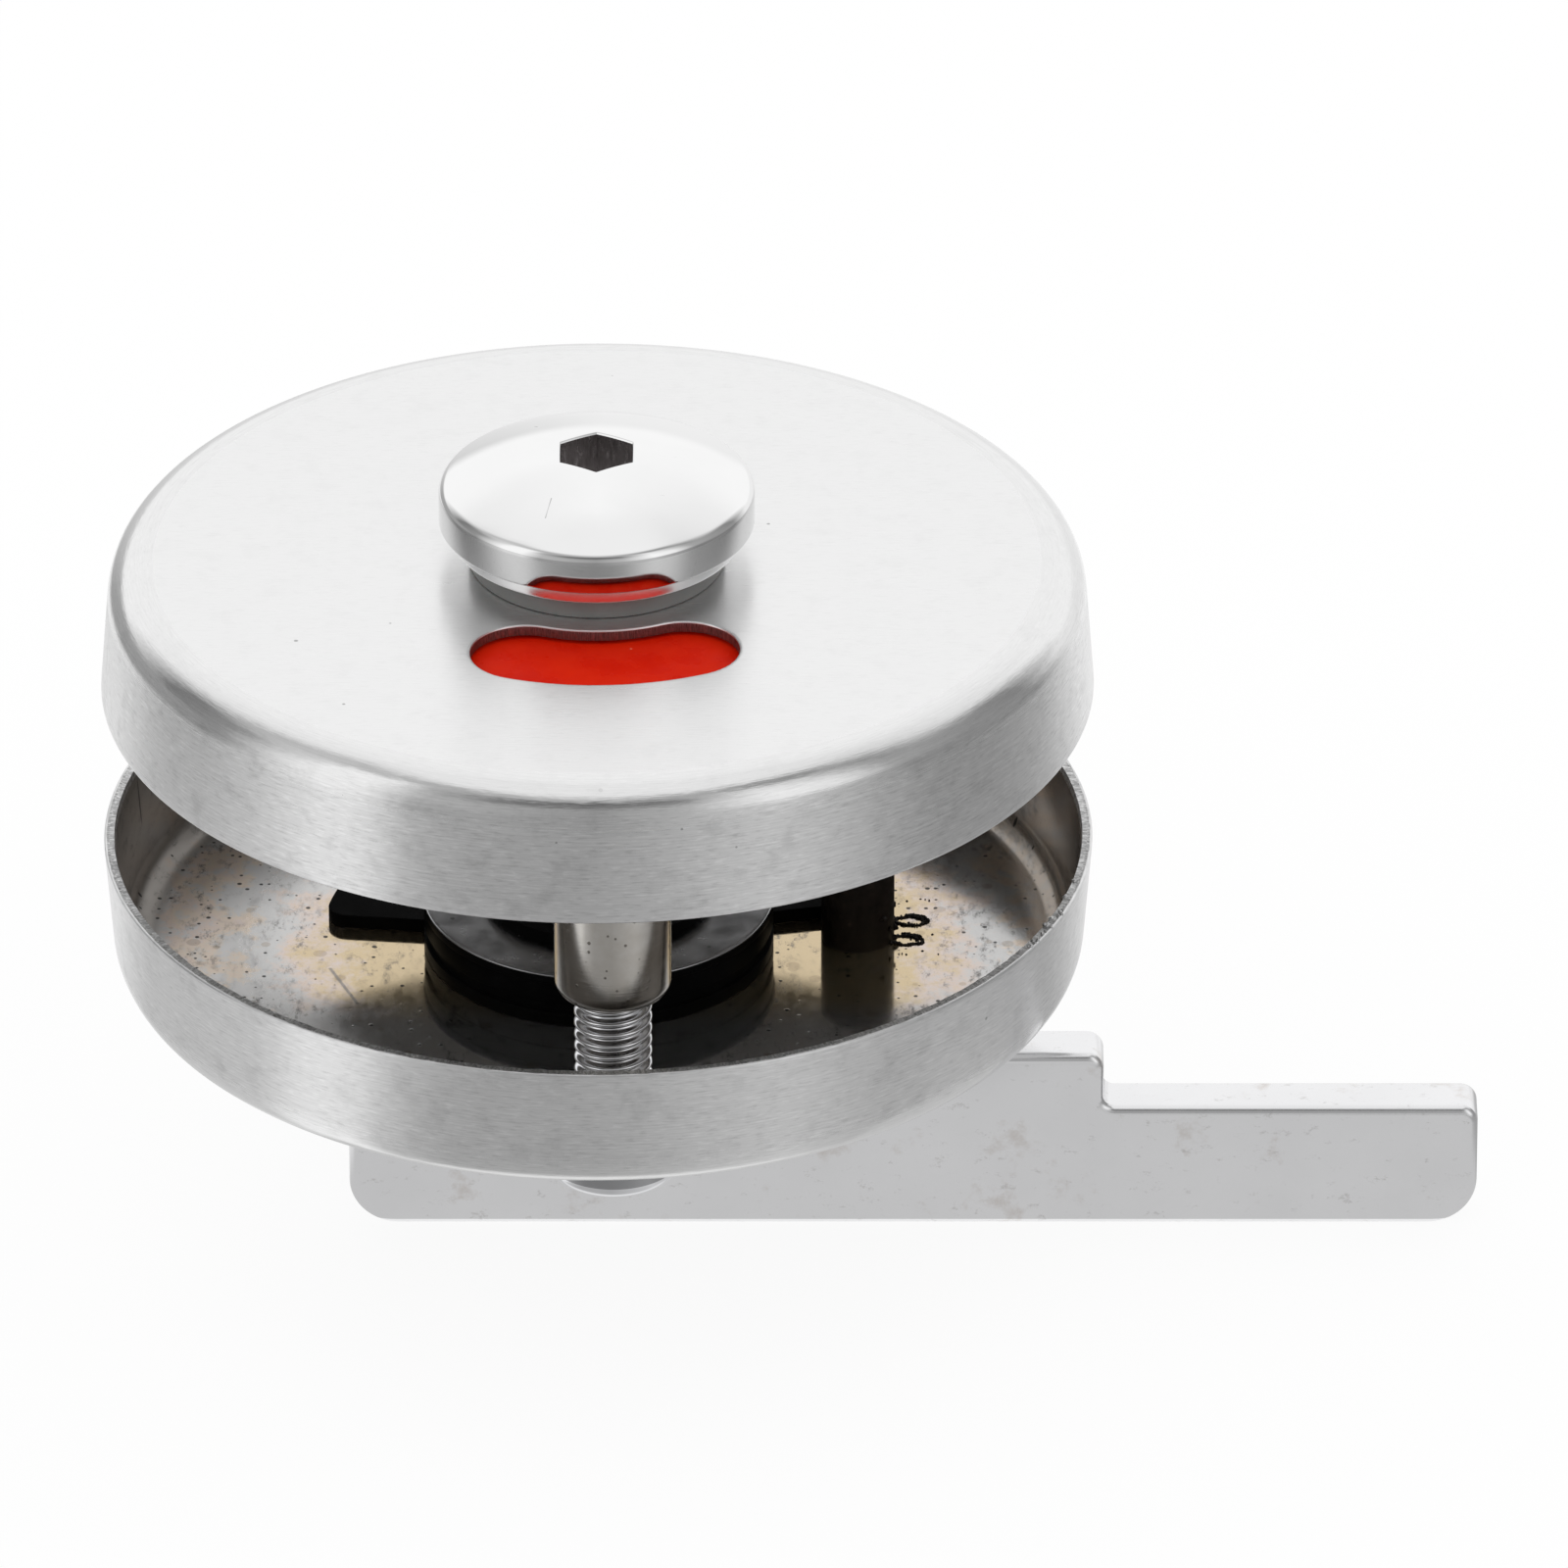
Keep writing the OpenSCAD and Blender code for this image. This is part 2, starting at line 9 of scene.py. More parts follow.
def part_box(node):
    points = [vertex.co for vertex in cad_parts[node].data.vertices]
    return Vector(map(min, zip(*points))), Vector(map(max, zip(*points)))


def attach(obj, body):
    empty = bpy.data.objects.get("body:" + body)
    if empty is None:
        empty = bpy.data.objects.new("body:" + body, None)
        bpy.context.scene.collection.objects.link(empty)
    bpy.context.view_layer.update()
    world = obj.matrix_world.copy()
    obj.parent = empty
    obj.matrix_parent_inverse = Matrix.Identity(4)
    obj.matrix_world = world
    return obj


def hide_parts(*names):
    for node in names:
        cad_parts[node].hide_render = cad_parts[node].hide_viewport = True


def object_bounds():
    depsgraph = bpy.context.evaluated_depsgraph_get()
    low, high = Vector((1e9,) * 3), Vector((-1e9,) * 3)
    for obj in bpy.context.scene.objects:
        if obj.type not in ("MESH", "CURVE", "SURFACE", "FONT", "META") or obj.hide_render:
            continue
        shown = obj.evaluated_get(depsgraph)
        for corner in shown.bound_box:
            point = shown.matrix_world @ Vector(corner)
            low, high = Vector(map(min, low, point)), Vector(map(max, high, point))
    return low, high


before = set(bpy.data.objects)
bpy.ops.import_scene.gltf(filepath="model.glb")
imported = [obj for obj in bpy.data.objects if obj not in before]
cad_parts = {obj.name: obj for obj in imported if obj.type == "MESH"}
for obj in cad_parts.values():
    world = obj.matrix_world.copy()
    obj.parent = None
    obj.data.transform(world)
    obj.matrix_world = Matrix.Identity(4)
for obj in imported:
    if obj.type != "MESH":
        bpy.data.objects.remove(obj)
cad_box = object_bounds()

# Camera: a long lens in front of the bolt and a little above it, so that the lines stay nearly
# parallel. It looks between the button and the step of the lever.
VIEW_DOWN = math.radians(29.0)
VIEW_AIM = Vector((0.01314, 0.00144, 0.0029))
VIEW_DISTANCE = 1.3876
VIEW_LENS = 450.0


def placed(name, data):
    """New object in the scene."""
    made = bpy.data.objects.new(name, data)
    bpy.context.scene.collection.objects.link(made)
    return made


camera = placed("camera", bpy.data.cameras.new("camera"))
camera.data.lens = VIEW_LENS
camera.rotation_euler = (math.pi / 2 - VIEW_DOWN, 0, 0)
camera.location = VIEW_AIM - VIEW_DISTANCE * Vector((0, math.cos(VIEW_DOWN), -math.sin(VIEW_DOWN)))
bpy.context.scene.camera = camera
bpy.context.scene.view_settings.view_transform = "Standard"


# Studio: a sheet of white paper under and behind the bolt, in an even white room. What shines sees
# pale and grey cards round about instead, darker in front and white behind, as on a photo table.
FLOOR_Z = cad_box[0][2] - 0.00005
FLOOR_SIZE = 6.0
PAPER_WHITE = 0.1
PAPER_GLOW = 0.9
CARD_LIFT = 0.0005
CARD_SPREAD = 1.16
CARD_UNDER = 0.85
CARD_UNDER_REACH = (0.026, 0.034)
CARD_FAR_REACH = (0.12, 0.2)
# The strip in front of the lever, which its flat side mirrors, and where it fades out
CARD_LEVER = 0.6
CARD_LEVER_LEFT = (-0.03, -0.022)
CARD_LEVER_RIGHT = (0.068, 0.08)
CARD_LEVER_FRONT = (-0.003, 0.001)
CARD_LEVER_SLANT = (0.02, 0.04, 0.018, 0.028)
CARD_LEVER_BACK = (0.0, 0.004)
# Bearing from the front in degrees, to the right, and the level of the card that stands there
CARDS = (
    (-180, 1.0), (-146, 1.0), (-122, 0.64), (-78, 0.66), (-67, 1.0), (-54, 1.0), (-45, 0.6),
    (-30, 0.44), (0, 0.44), (40, 0.65), (84, 0.36), (108, 0.36), (128, 0.52),
    (148, 0.85), (160, 1.0), (180, 1.0),
)
# The same for the far part of the cards, then for the room above them, belt by belt
FAR_CARDS = (
    (-180, 0.9), (-144, 0.4), (-92, 0.3), (-66, 1.0), (-52, 1.0), (-40, 0.45), (0, 0.35), (40, 0.7),
    (74, 0.3), (112, 0.3), (128, 0.9), (180, 0.9),
)
LOW_BELT = (
    (-180, 1.0), (-140, 1.0), (-114, 0.2), (-94, 0.3), (-70, 1.0), (-54, 1.0), (-40, 0.5), (0, 0.35),
    (20, 0.5), (42, 1.0), (58, 0.9), (72, 0.4), (112, 0.25), (134, 1.0), (180, 1.0),
)
MIDDLE_BELT = (
    (-180, 1.0), (-138, 0.9), (-108, 0.5), (-80, 0.7), (-70, 1.0), (-56, 1.0), (-46, 0.45), (-24, 0.18),
    (0, 0.12), (20, 0.2), (44, 0.9), (54, 0.8), (80, 0.3), (117, 0.85), (180, 1.0),
)
HIGH_BELT = (
    (-180, 1.0), (-130, 0.9), (-106, 0.6), (-53, 0.45), (0, 0.6), (53, 0.3), (74, 0.3), (106, 0.75),
    (180, 1.0),
)
TOP = ((-180, 0.92), (180, 0.92))
BELTS = (
    (-0.05, FAR_CARDS), (0.05, FAR_CARDS), (0.2, LOW_BELT), (0.47, LOW_BELT), (0.72, MIDDLE_BELT),
    (0.87, HIGH_BELT), (0.96, TOP),
)


def node(tree, kind, inputs=(), **settings):
    """Shader node of this kind. An input takes a value, or the output of another node."""
    made = tree.nodes.new("ShaderNode" + kind)
    for name, value in settings.items():
        setattr(made, name, value)
    for name, value in dict(inputs).items():
        if isinstance(value, bpy.types.NodeSocket):
            tree.links.new(value, made.inputs[name])
        else:
            made.inputs[name].default_value = value
    return made


def math_node(tree, operation, *values):
    """Output of a sum on one, two or three values."""
    return node(tree, "Math", enumerate(values), operation=operation).outputs[0]


def times(tree, first, second):
    """Product of two values."""
    return math_node(tree, "MULTIPLY", first, second)


def length_of(tree, point):
    """Distance of a point from the origin."""
    return node(tree, "VectorMath", {0: point}, operation="LENGTH").outputs["Value"]


def map_range(tree, value, low, high, to_low=0.0, to_high=1.0):
    """Output that runs smoothly from to_low to to_high while value runs from low to high."""
    inputs = {"Value": value, "From Min": low, "From Max": high, "To Min": to_low, "To Max": to_high}
    return node(tree, "MapRange", inputs, interpolation_type="SMOOTHSTEP").outputs[0]


def ramp(tree, value, *stops):
    """Colour for each value, from stops of a place and a grey or a colour."""
    made = node(tree, "ValToRGB", {"Fac": value})
    elements = made.color_ramp.elements
    while len(elements) < len(stops):
        elements.new(1.0)
    for element, (position, colour) in zip(elements, stops):
        element.position = position
        colour = colour if isinstance(colour, tuple) else (colour,) * 3
        element.color = (*colour, 1)
    return made.outputs["Color"]


def blend(tree, factor, below, above):
    """Colour that goes from below to above by the factor. A colour may be a grey."""
    made = node(tree, "Mix", data_type="RGBA")
    for socket, value in ((0, factor), (6, below), (7, above)):
        if isinstance(value, bpy.types.NodeSocket):
            tree.links.new(value, made.inputs[socket])
        elif socket == 0:
            made.inputs[socket].default_value = value
        else:
            value = value if isinstance(value, tuple) else (value,) * 3
            made.inputs[socket].default_value = (*value, 1)
    return made.outputs[2]


def round_about(tree, x, y, levels, spread=1.0):
    """Level on the bearing of a point, from pairs of a bearing and a level."""
    bearing = math_node(tree, "ARCTAN2", x, times(tree, y, -1.0))
    share = math_node(tree, "MULTIPLY_ADD", bearing, spread / (2 * math.pi), 0.5)
    return ramp(tree, share, *[(0.5 + degrees / 360, level) for degrees, level in levels])


def background_ray(tree):
    """1 for rays that show the background: those of the camera, and mirrored or refracted ones."""
    path = node(tree, "LightPath").outputs
    seen = math_node(tree, "MAXIMUM", path["Is Camera Ray"], path["Is Glossy Ray"])
    return math_node(tree, "MAXIMUM", seen, path["Is Transmission Ray"])


world = bpy.data.worlds.new("studio")
world.use_nodes = True
world.cycles.sampling_method = "NONE"
bpy.context.scene.world = world
tree = world.node_tree
look = node(tree, "SeparateXYZ", {0: node(tree, "TexCoord").outputs["Generated"]}).outputs
level, reached = CARD_UNDER, -1.0
for height, levels in BELTS:
    belt = round_about(tree, look["X"], look["Y"], levels)
    level = blend(tree, map_range(tree, look["Z"], reached, height), level, belt)
    reached = height
level = blend(tree, node(tree, "LightPath").outputs["Is Glossy Ray"], 1.0, level)
tree.links.new(level, tree.nodes["Background"].inputs["Color"])


def sheet(name, height):
    """Square stage piece under the bolt."""
    half = FLOOR_SIZE / 2
    corners = [(-half, -half), (half, -half), (half, half), (-half, half)]
    data = bpy.data.meshes.new(name)
    data.from_pydata([(x, y, height) for x, y in corners], [], [(0, 1, 2, 3)])
    made = placed(name, data)
    return made


def material(name, **sockets):
    """New material. What is the same all over is set on its shader, by socket."""
    made = bpy.data.materials.new(name)
    made.use_nodes = True
    shader = made.node_tree.nodes["Principled BSDF"]
    for socket, value in sockets.items():
        shader.inputs[socket.replace("_", " ")].default_value = value
    return made, made.node_tree, shader


def join(tree, shader, **sockets):
    """Leads node outputs to the shader's sockets."""
    for socket, value in sockets.items():
        tree.links.new(value, shader.inputs[socket.replace("_", " ")])


paper, tree, shader = material(
    "white_paper", Base_Color=(PAPER_WHITE, PAPER_WHITE, PAPER_WHITE, 1), Roughness=1.0,
    Specular_IOR_Level=0.0, Emission_Color=(1, 1, 1, 1),
)
join(tree, shader, Emission_Strength=times(tree, background_ray(tree), PAPER_GLOW))
floor = sheet("floor", FLOOR_Z)
floor.data.materials.append(paper)

card, tree, shader = material(
    "studio_cards", Base_Color=(0, 0, 0, 1), Specular_IOR_Level=0.0, Emission_Strength=1.0,
)
card.cycles.emission_sampling = "NONE"
point = node(tree, "TexCoord").outputs["Object"]
spot = node(tree, "SeparateXYZ", {0: point}).outputs
across = node(tree, "Mapping", {"Vector": point, "Scale": (1, 1, 0)}).outputs[0]
reach = length_of(tree, across)
level = blend(
    tree, map_range(tree, reach, *CARD_UNDER_REACH),
    CARD_UNDER, round_about(tree, spot["X"], spot["Y"], CARDS, CARD_SPREAD),
)
far = round_about(tree, spot["X"], spot["Y"], FAR_CARDS)
level = blend(tree, map_range(tree, reach, *CARD_FAR_REACH), level, far)
slant = map_range(tree, spot["X"], *CARD_LEVER_SLANT)
strip = map_range(tree, math_node(tree, "ADD", spot["Y"], slant), *CARD_LEVER_FRONT)
for fade in (
    map_range(tree, spot["X"], *CARD_LEVER_LEFT),
    map_range(tree, spot["X"], *CARD_LEVER_RIGHT, 1.0, 0.0),
    map_range(tree, spot["Y"], *CARD_LEVER_BACK, 1.0, 0.0),
):
    strip = times(tree, strip, fade)
level = blend(tree, strip, level, CARD_LEVER)
join(tree, shader, Emission_Color=level)
card_floor = sheet("card_floor", FLOOR_Z + CARD_LIFT)
card_floor.data.materials.append(card)
card_floor.visible_camera = False
card_floor.visible_diffuse = False
card_floor.visible_shadow = False


# Outer rose: a round cup drawn from 0.8 mm stainless sheet, with a kidney-shaped window and a
# bore for the spindle. Its face is brushed in straight lines and its wall round about.
ROSE_LOW, ROSE_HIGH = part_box("outer_rose")
ROSE_RADIUS = ROSE_HIGH.x
ROSE_DEPTH = ROSE_HIGH.z - ROSE_LOW.z
ROSE_SHEET = 0.0008
ROSE_BEND = 0.0028
ROSE_FLARE = math.radians(4.5)
ROSE_SIDES = 720
ROSE_MARGIN = 0.0004
ROSE_LIP = 0.0002
WALL_PARTS = (0.2, 0.4, 0.6, 0.8, 0.93)
TORN_FINE, TORN_COARSE = 2600, 700
TORN_MEAN, TORN_SWING = 0.00004, 0.00006
WINDOW_COVER = 0.0016
WINDOW_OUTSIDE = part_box("indicator_disc")[1].x - WINDOW_COVER
WINDOW_WIDTH = 0.0078
WINDOW_HALF_ANGLE = 22.0
WINDOW_MIDDLE = -87.2
CUT_ROUNDING = 0.00012
JOURNAL_HOLE = 0.00405
BORE_SIDES = 96
BEND_ROUGHNESS = 0.12
BEND_TONE = 0.87
FACE, WALL, INSIDE, RIM, CUT = range(5)


def arc(centre, radius, start, end, steps):
    """Points along a round stretch of an outline, with its angles in degrees."""
    turns = [math.radians(start + (end - start) * step / steps) for step in range(steps + 1)]
    return [(centre[0] + radius * math.cos(t), centre[1] + radius * math.sin(t)) for t in turns]


def circle(radius, height, sides, at=(0, 0)):
    """Loop of points round an upright axis, or the one point on it."""
    if radius == 0:
        return [(at[0], at[1], height)]
    ring = arc(at, radius, 0, 360, sides)[:-1]
    return [(x, y, height) for x, y in ring]


def skin(mesh, loops, slot=0):
    """Bands of faces from each loop to the next. The grain map runs across and round them."""
    grain = mesh.loops.layers.uv["grain"]
    rows = [[mesh.verts.new(point) for point in loop] for loop in loops]
    across = 0.0
    for near, far in zip(rows, rows[1:]):
        reach = across + (near[0].co - far[0].co).length
        count = max(len(near), len(far))
        length = (near if len(near) == count else far)[0].co.xy.length * 2 * math.pi / count
        for i in range(count):
            corners = [
                (near[i % len(near)], across, i), (near[(i + 1) % len(near)], across, i + 1),
                (far[(i + 1) % len(far)], reach, i + 1), (far[i % len(far)], reach, i),
            ]
            corners = [c for k, c in enumerate(corners) if c[0] != corners[k - 1][0]]
            face = mesh.faces.new([c[0] for c in corners])
            face.material_index = slot
            for loop, corner in zip(face.loops, corners):
                loop[grain].uv = (corner[1], corner[2] * length)
        across = reach


def flat(mesh, loops, slot=0):
    """Flat face inside the first loop and outside the others. Its grain runs along X."""
    grain = mesh.loops.layers.uv["grain"]
    edges = []
    for loop in loops:
        row = [mesh.verts.new(point) for point in loop]
        edges += [mesh.edges.new((row[i - 1], row[i])) for i in range(len(row))]
    filled = bmesh.ops.triangle_fill(mesh, use_beauty=True, edges=edges)
    for face in filled["geom"]:
        if isinstance(face, bmesh.types.BMFace):
            face.material_index = slot
            for loop in face.loops:
                loop[grain].uv = (loop.vert.co.y, loop.vert.co.x)


def new_mesh():
    """Empty mesh with a grain map."""
    mesh = bmesh.new()
    mesh.loops.layers.uv.new("grain")
    return mesh


def finished(mesh, name, *materials, sharp=40.0):
    """Object made from the mesh: seams joined, faces turned outwards, smooth but for sharp edges."""
    bmesh.ops.remove_doubles(mesh, verts=mesh.verts, dist=1e-7)
    bmesh.ops.recalc_face_normals(mesh, faces=mesh.faces)
    data = bpy.data.meshes.new(name)
    mesh.to_mesh(data)
    mesh.free()
    data.polygons.foreach_set("use_smooth", [True] * len(data.polygons))
    data.set_sharp_from_angle(angle=math.radians(sharp))
    for surface in materials:
        data.materials.append(surface)
    return placed(name, data)


def fitted(piece, body, node_name):
    """Fixes a piece to a moving body, in the place of its solid, and hides that solid."""
    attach(piece, body)
    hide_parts(node_name)


def kidney(grow, height):
    """Loop round the window, moved outwards by grow."""
    middle = WINDOW_OUTSIDE - WINDOW_WIDTH / 2
    round_end = WINDOW_WIDTH / 2 + grow
    left, right = WINDOW_MIDDLE - WINDOW_HALF_ANGLE, WINDOW_MIDDLE + WINDOW_HALF_ANGLE
    points = arc((0, 0), middle + round_end, left, right, 32)[:-1]
    centre = arc((0, 0), middle, right, right, 1)[0]
    points += arc(centre, round_end, right, right + 180, 24)[:-1]
    points += arc((0, 0), middle - round_end, right, left, 24)[:-1]
    centre = arc((0, 0), middle, left, left, 1)[0]
    points += arc(centre, round_end, left + 180, left + 360, 24)[:-1]
    return [(x, y, height) for x, y in points]


def bore(radius, at=(0, 0)):
    """Round hole for pressed_cup: a loop of its edge, moved outwards by grow."""
    return lambda grow, height: circle(radius + grow, height, BORE_SIDES, at)


def cut_through(mesh, hole, outside, inside):
    """Wall of a hole that was punched from the outside of a sheet. Gives its loops on both faces."""
    down = 1 if outside > inside else -1
    edge = CUT_ROUNDING
    rounding = arc((edge, -edge), edge, 90, 180, 4)
    mouth = [hole(2 * edge, outside)]
    mouth += [hole(grow, outside + down * fall) for grow, fall in rounding]
    wall = [mouth[-1], hole(0, inside)]
    back = [wall[-1], hole(edge, inside)]
    skin(mesh, mouth, FACE)
    skin(mesh, wall, CUT)
    skin(mesh, back, INSIDE)
    return mouth[0], back[-1]


def pressed_cup(face, rim, holes):
    """Cup drawn from sheet, between the heights of its face and its rim."""
    mesh = new_mesh()
    rise = 1 if rim > face else -1
    to_rim = ROSE_DEPTH - ROSE_BEND + ROSE_BEND * math.sin(ROSE_FLARE)
    bend_x = ROSE_RADIUS - ROSE_BEND * math.cos(ROSE_FLARE) - to_rim * math.tan(ROSE_FLARE)
    sides = []
    for inset in (0, ROSE_SHEET):
        bend = ROSE_BEND - inset
        outline = [(bend_x - ROSE_MARGIN, inset)]
        outline += arc((bend_x, ROSE_BEND), bend, -90, -math.degrees(ROSE_FLARE), 14)
        foot_x, foot_y = outline[-1]
        for part in WALL_PARTS:
            depth = foot_y + part * (ROSE_DEPTH - foot_y)
            outline.append((foot_x + (depth - foot_y) * math.tan(ROSE_FLARE), depth))
        sides.append(outline)
    outside, inside = sides
    outside += arc((ROSE_RADIUS - 1.1 * ROSE_LIP, ROSE_DEPTH - ROSE_LIP), ROSE_LIP, 0, 90, 5)
    lip = [(ROSE_RADIUS - inset, ROSE_DEPTH) for inset in (ROSE_SHEET / 2, ROSE_SHEET - ROSE_LIP / 3)]
    for run, slot in ((outside, WALL), (outside[-1:] + lip + inside[-1:], RIM), (inside[::-1], INSIDE)):
        skin(mesh, [circle(r, face + rise * d, ROSE_SIDES) for r, d in run], slot)
    loops = [cut_through(mesh, hole, face, face + rise * ROSE_SHEET) for hole in holes]
    border = circle(bend_x - ROSE_MARGIN, face, ROSE_SIDES)
    flat(mesh, [border] + [outer for outer, _ in loops], FACE)
    border = circle(bend_x - ROSE_MARGIN, face + rise * ROSE_SHEET, ROSE_SIDES)
    flat(mesh, [border] + [inner for _, inner in loops], INSIDE)
    for vert in mesh.verts:
        if abs(vert.co.z - rim) < 1e-6:
            torn = noise.noise(vert.co * TORN_FINE) + 0.7 * noise.noise(vert.co * TORN_COARSE)
            vert.co.z -= rise * max(0.0, TORN_MEAN + TORN_SWING * torn)
    return mesh


def coords(tree, source="Object", stretch=(1, 1, 1)):
    """Coordinates of a point on the piece, stretched."""
    if source == "grain":
        point = node(tree, "UVMap", uv_map="grain").outputs[0]
    else:
        point = node(tree, "TexCoord").outputs[source]
    return node(tree, "Mapping", {"Vector": point, "Scale": stretch}).outputs[0]


def cloud(tree, point, size, detail=3.0, roughness=0.55):
    """Soft noise whose lumps are about this large, in metres."""
    inputs = {"Vector": point, "Scale": 1 / size, "Detail": detail, "Roughness": roughness}
    return node(tree, "TexNoise", inputs).outputs["Fac"]


def streaks(tree, across, along, detail=3.0):
    """Noise drawn out along the grain: lines this wide and this long, in metres."""
    return cloud(tree, coords(tree, "grain", (along / across, 1, 1)), along, detail)


def dots(tree, point, spacing, size, share):
    """1 inside specks of this radius, one in a part of the cells that are this far apart, in metres."""
    cells = node(tree, "TexVoronoi", {"Vector": point, "Scale": 1 / spacing}).outputs
    chance = node(tree, "SeparateColor", {0: cells["Color"]}).outputs
    edge = math_node(tree, "MULTIPLY_ADD", chance[1], size / spacing, 0.4 * size / spacing)
    inside = math_node(tree, "SUBTRACT", edge, cells["Distance"])
    inside = map_range(tree, inside, 0.0, 0.3 * size / spacing)
    return times(tree, inside, math_node(tree, "LESS_THAN", chance[0], share))


def scratch(tree, point, start, end, width):
    """1 on a hairline from start to end, fading at its edges."""
    start, along = Vector(start), Vector(end) - Vector(start)
    offset = node(tree, "VectorMath", {0: point, 1: start}, operation="SUBTRACT").outputs[0]
    inputs = {0: offset, 1: along / along.length_squared}
    part = node(tree, "VectorMath", inputs, operation="DOT_PRODUCT").outputs["Value"]
    part = node(tree, "Clamp", {"Value": part}).outputs[0]
    nearest = node(tree, "VectorMath", {0: along, "Scale": part}, operation="SCALE").outputs[0]
    gap = node(tree, "VectorMath", {0: offset, 1: nearest}, operation="DISTANCE").outputs["Value"]
    return map_range(tree, gap, 0.3 * width, width, 1.0, 0.0)


def bumped(tree, height, depth, strength=1.0, under=None):
    """Normal of a surface whose relief is this deep, in metres."""
    inputs = {"Height": height, "Distance": depth, "Strength": strength}
    if under:
        inputs["Normal"] = under
    return node(tree, "Bump", inputs).outputs[0]


def brushed_steel(name, tone, roughness, grit, face=None, marks=()):
    """Stainless steel with fine lines along the grain, short scratches with painted glints and painted shade,
    soft smudges and a few specks.
    Grit is how far they stand out. The bend beside a face at this height is smoother."""
    made, tree, shader = material(name, Metallic=1.0, Anisotropic=0.75)
    point = coords(tree)
    lines = streaks(tree, 0.00012, 0.008)
    tick_glints = streaks(tree, 0.00017, 0.0012, 1.0)
    smudge = cloud(tree, point, 0.0024, 6.0, 0.65)
    colour = ramp(tree, lines, (0.3, tone * (1 - 0.05 * grit)), (0.7, tone * (1 + 0.01 * grit)))
    # Painted glints and painted shade: the short scratches are coloured lighter where they would catch the
    # light and darker where they would lie in shade.
    colour = blend(tree, map_range(tree, tick_glints, 0.56, 0.72, 0, 0.16 * grit), colour, min(1.0, tone * 1.25))
    colour = blend(tree, map_range(tree, tick_glints, 0.44, 0.28, 0, 0.16 * grit), colour, tone * 0.6)
    colour = blend(tree, map_range(tree, smudge, 0.48, 0.75, 0, 0.13 * grit), colour, tone * 0.5)
    specks = dots(tree, point, 0.003, 0.00013, 0.3)
    colour = blend(tree, times(tree, specks, 0.6), colour, 0.2)
    for start, end, width in marks:
        colour = blend(tree, scratch(tree, point, start, end, width), colour, 0.12)
    rough = map_range(tree, lines, 0.25, 0.75, roughness - 0.03, roughness + 0.03)
    if face is not None:
        height = node(tree, "SeparateXYZ", {0: point}).outputs["Z"]
        below = math_node(tree, "ABSOLUTE", math_node(tree, "SUBTRACT", height, face))
        smooth = map_range(tree, below, 0.0016, 0.0032, BEND_ROUGHNESS - roughness, 0.0)
        rough = math_node(tree, "ADD", rough, smooth)
        colour = blend(tree, map_range(tree, below, 0.0006, 0.0028, 0.7, 0.0), colour, BEND_TONE)
    relief = bumped(tree, lines, 0.000006, 0.5, bumped(tree, tick_glints, 0.000012, 0.75))
    along_grain = node(tree, "Tangent", direction_type="UV_MAP", uv_map="grain").outputs[0]
    join(tree, shader, Base_Color=colour, Roughness=rough, Normal=relief, Tangent=along_grain)
    return made


def rolled_steel(name, stain_and_shade, dull):
    """Bare inside of a drawn cup: nearly a mirror, with rings of heat colour, smears, spots and pits, and
    painted shade darkening the bend.
    """
    made, tree, shader = material(name, Metallic=0.92)
    point = coords(tree)
    across = coords(tree, stretch=(1, 1, 0))
    wander = cloud(tree, point, 0.0045, 7.0, 0.72)
    spread = length_of(tree, across)
    ring = math_node(tree, "ADD", spread, map_range(tree, wander, 0.2, 0.8, -0.005, 0.005))
    place = node(tree, "SeparateXYZ", {0: point}).outputs
    ring = math_node(tree, "ADD", ring, map_range(tree, place["X"], 0.005, 0.018, 0, -0.004))
    ring = math_node(tree, "DIVIDE", ring, ROSE_RADIUS)
    steel, straw = (0.60, 0.595, 0.59), (0.66, 0.53, 0.34)
    pink, tan = (0.68, 0.58, 0.52), (0.70, 0.60, 0.50)
    tone = ramp(
        tree, ring, (0.30, straw), (0.50, straw), (0.59, pink), (0.67, steel),
        (0.74, steel), (0.80, tan), (0.85, pink), (0.90, steel),
    )
    behind = map_range(tree, place["Y"], -0.013, -0.007, 0.0, stain_and_shade)
    tone = blend(tree, behind, steel, tone)
    # Painted shade: the floor is coloured dark where it turns into the wall, as if the wall shaded it.
    bend = map_range(tree, spread, 0.0310, 0.0322, 0.0, 0.75 * stain_and_shade)
    tone = blend(tree, bend, tone, (0.21, 0.185, 0.16))
    smears = cloud(tree, coords(tree, stretch=(1, 0.5, 1)), 0.0009, 6.0, 0.8)
    patches = map_range(tree, cloud(tree, point, 0.004, 3.0), 0.40, 0.62, 0.25, 1.0)
    dirt = times(tree, map_range(tree, smears, 0.5, 0.68, 0, 0.9), patches)
    tone = blend(tree, dirt, tone, (0.13, 0.125, 0.12))
    spots = times(tree, dots(tree, across, 0.0017, 0.00042, 0.5), 0.35 * stain_and_shade)
    tone = blend(tree, spots, tone, (0.30, 0.23, 0.15))
    pits = dots(tree, across, 0.0007, 0.00014, 0.45)
    tone = blend(tree, times(tree, pits, 0.9), tone, 0.015)
    line = scratch(tree, point, (-0.0190, -0.0039, -0.0091), (-0.0170, -0.0089, -0.0091), 0.00018)
    tone = blend(tree, times(tree, line, 0.7), tone, 0.2)
    rough = map_range(tree, smears, 0.35, 0.8, dull, dull + 0.1)
    worn = map_range(tree, spread, 0.0195, 0.0265, 0.0, 0.22)
    worn = times(tree, worn, map_range(tree, place["X"], 0.0, 0.012, 1.0, 0.3))
    rough = math_node(tree, "ADD", rough, worn)
    relief = bumped(tree, pits, 0.00002, 0.2, bumped(tree, smears, 0.000008, 0.1))
    join(tree, shader, Base_Color=tone, Roughness=rough, Normal=relief)
    return made


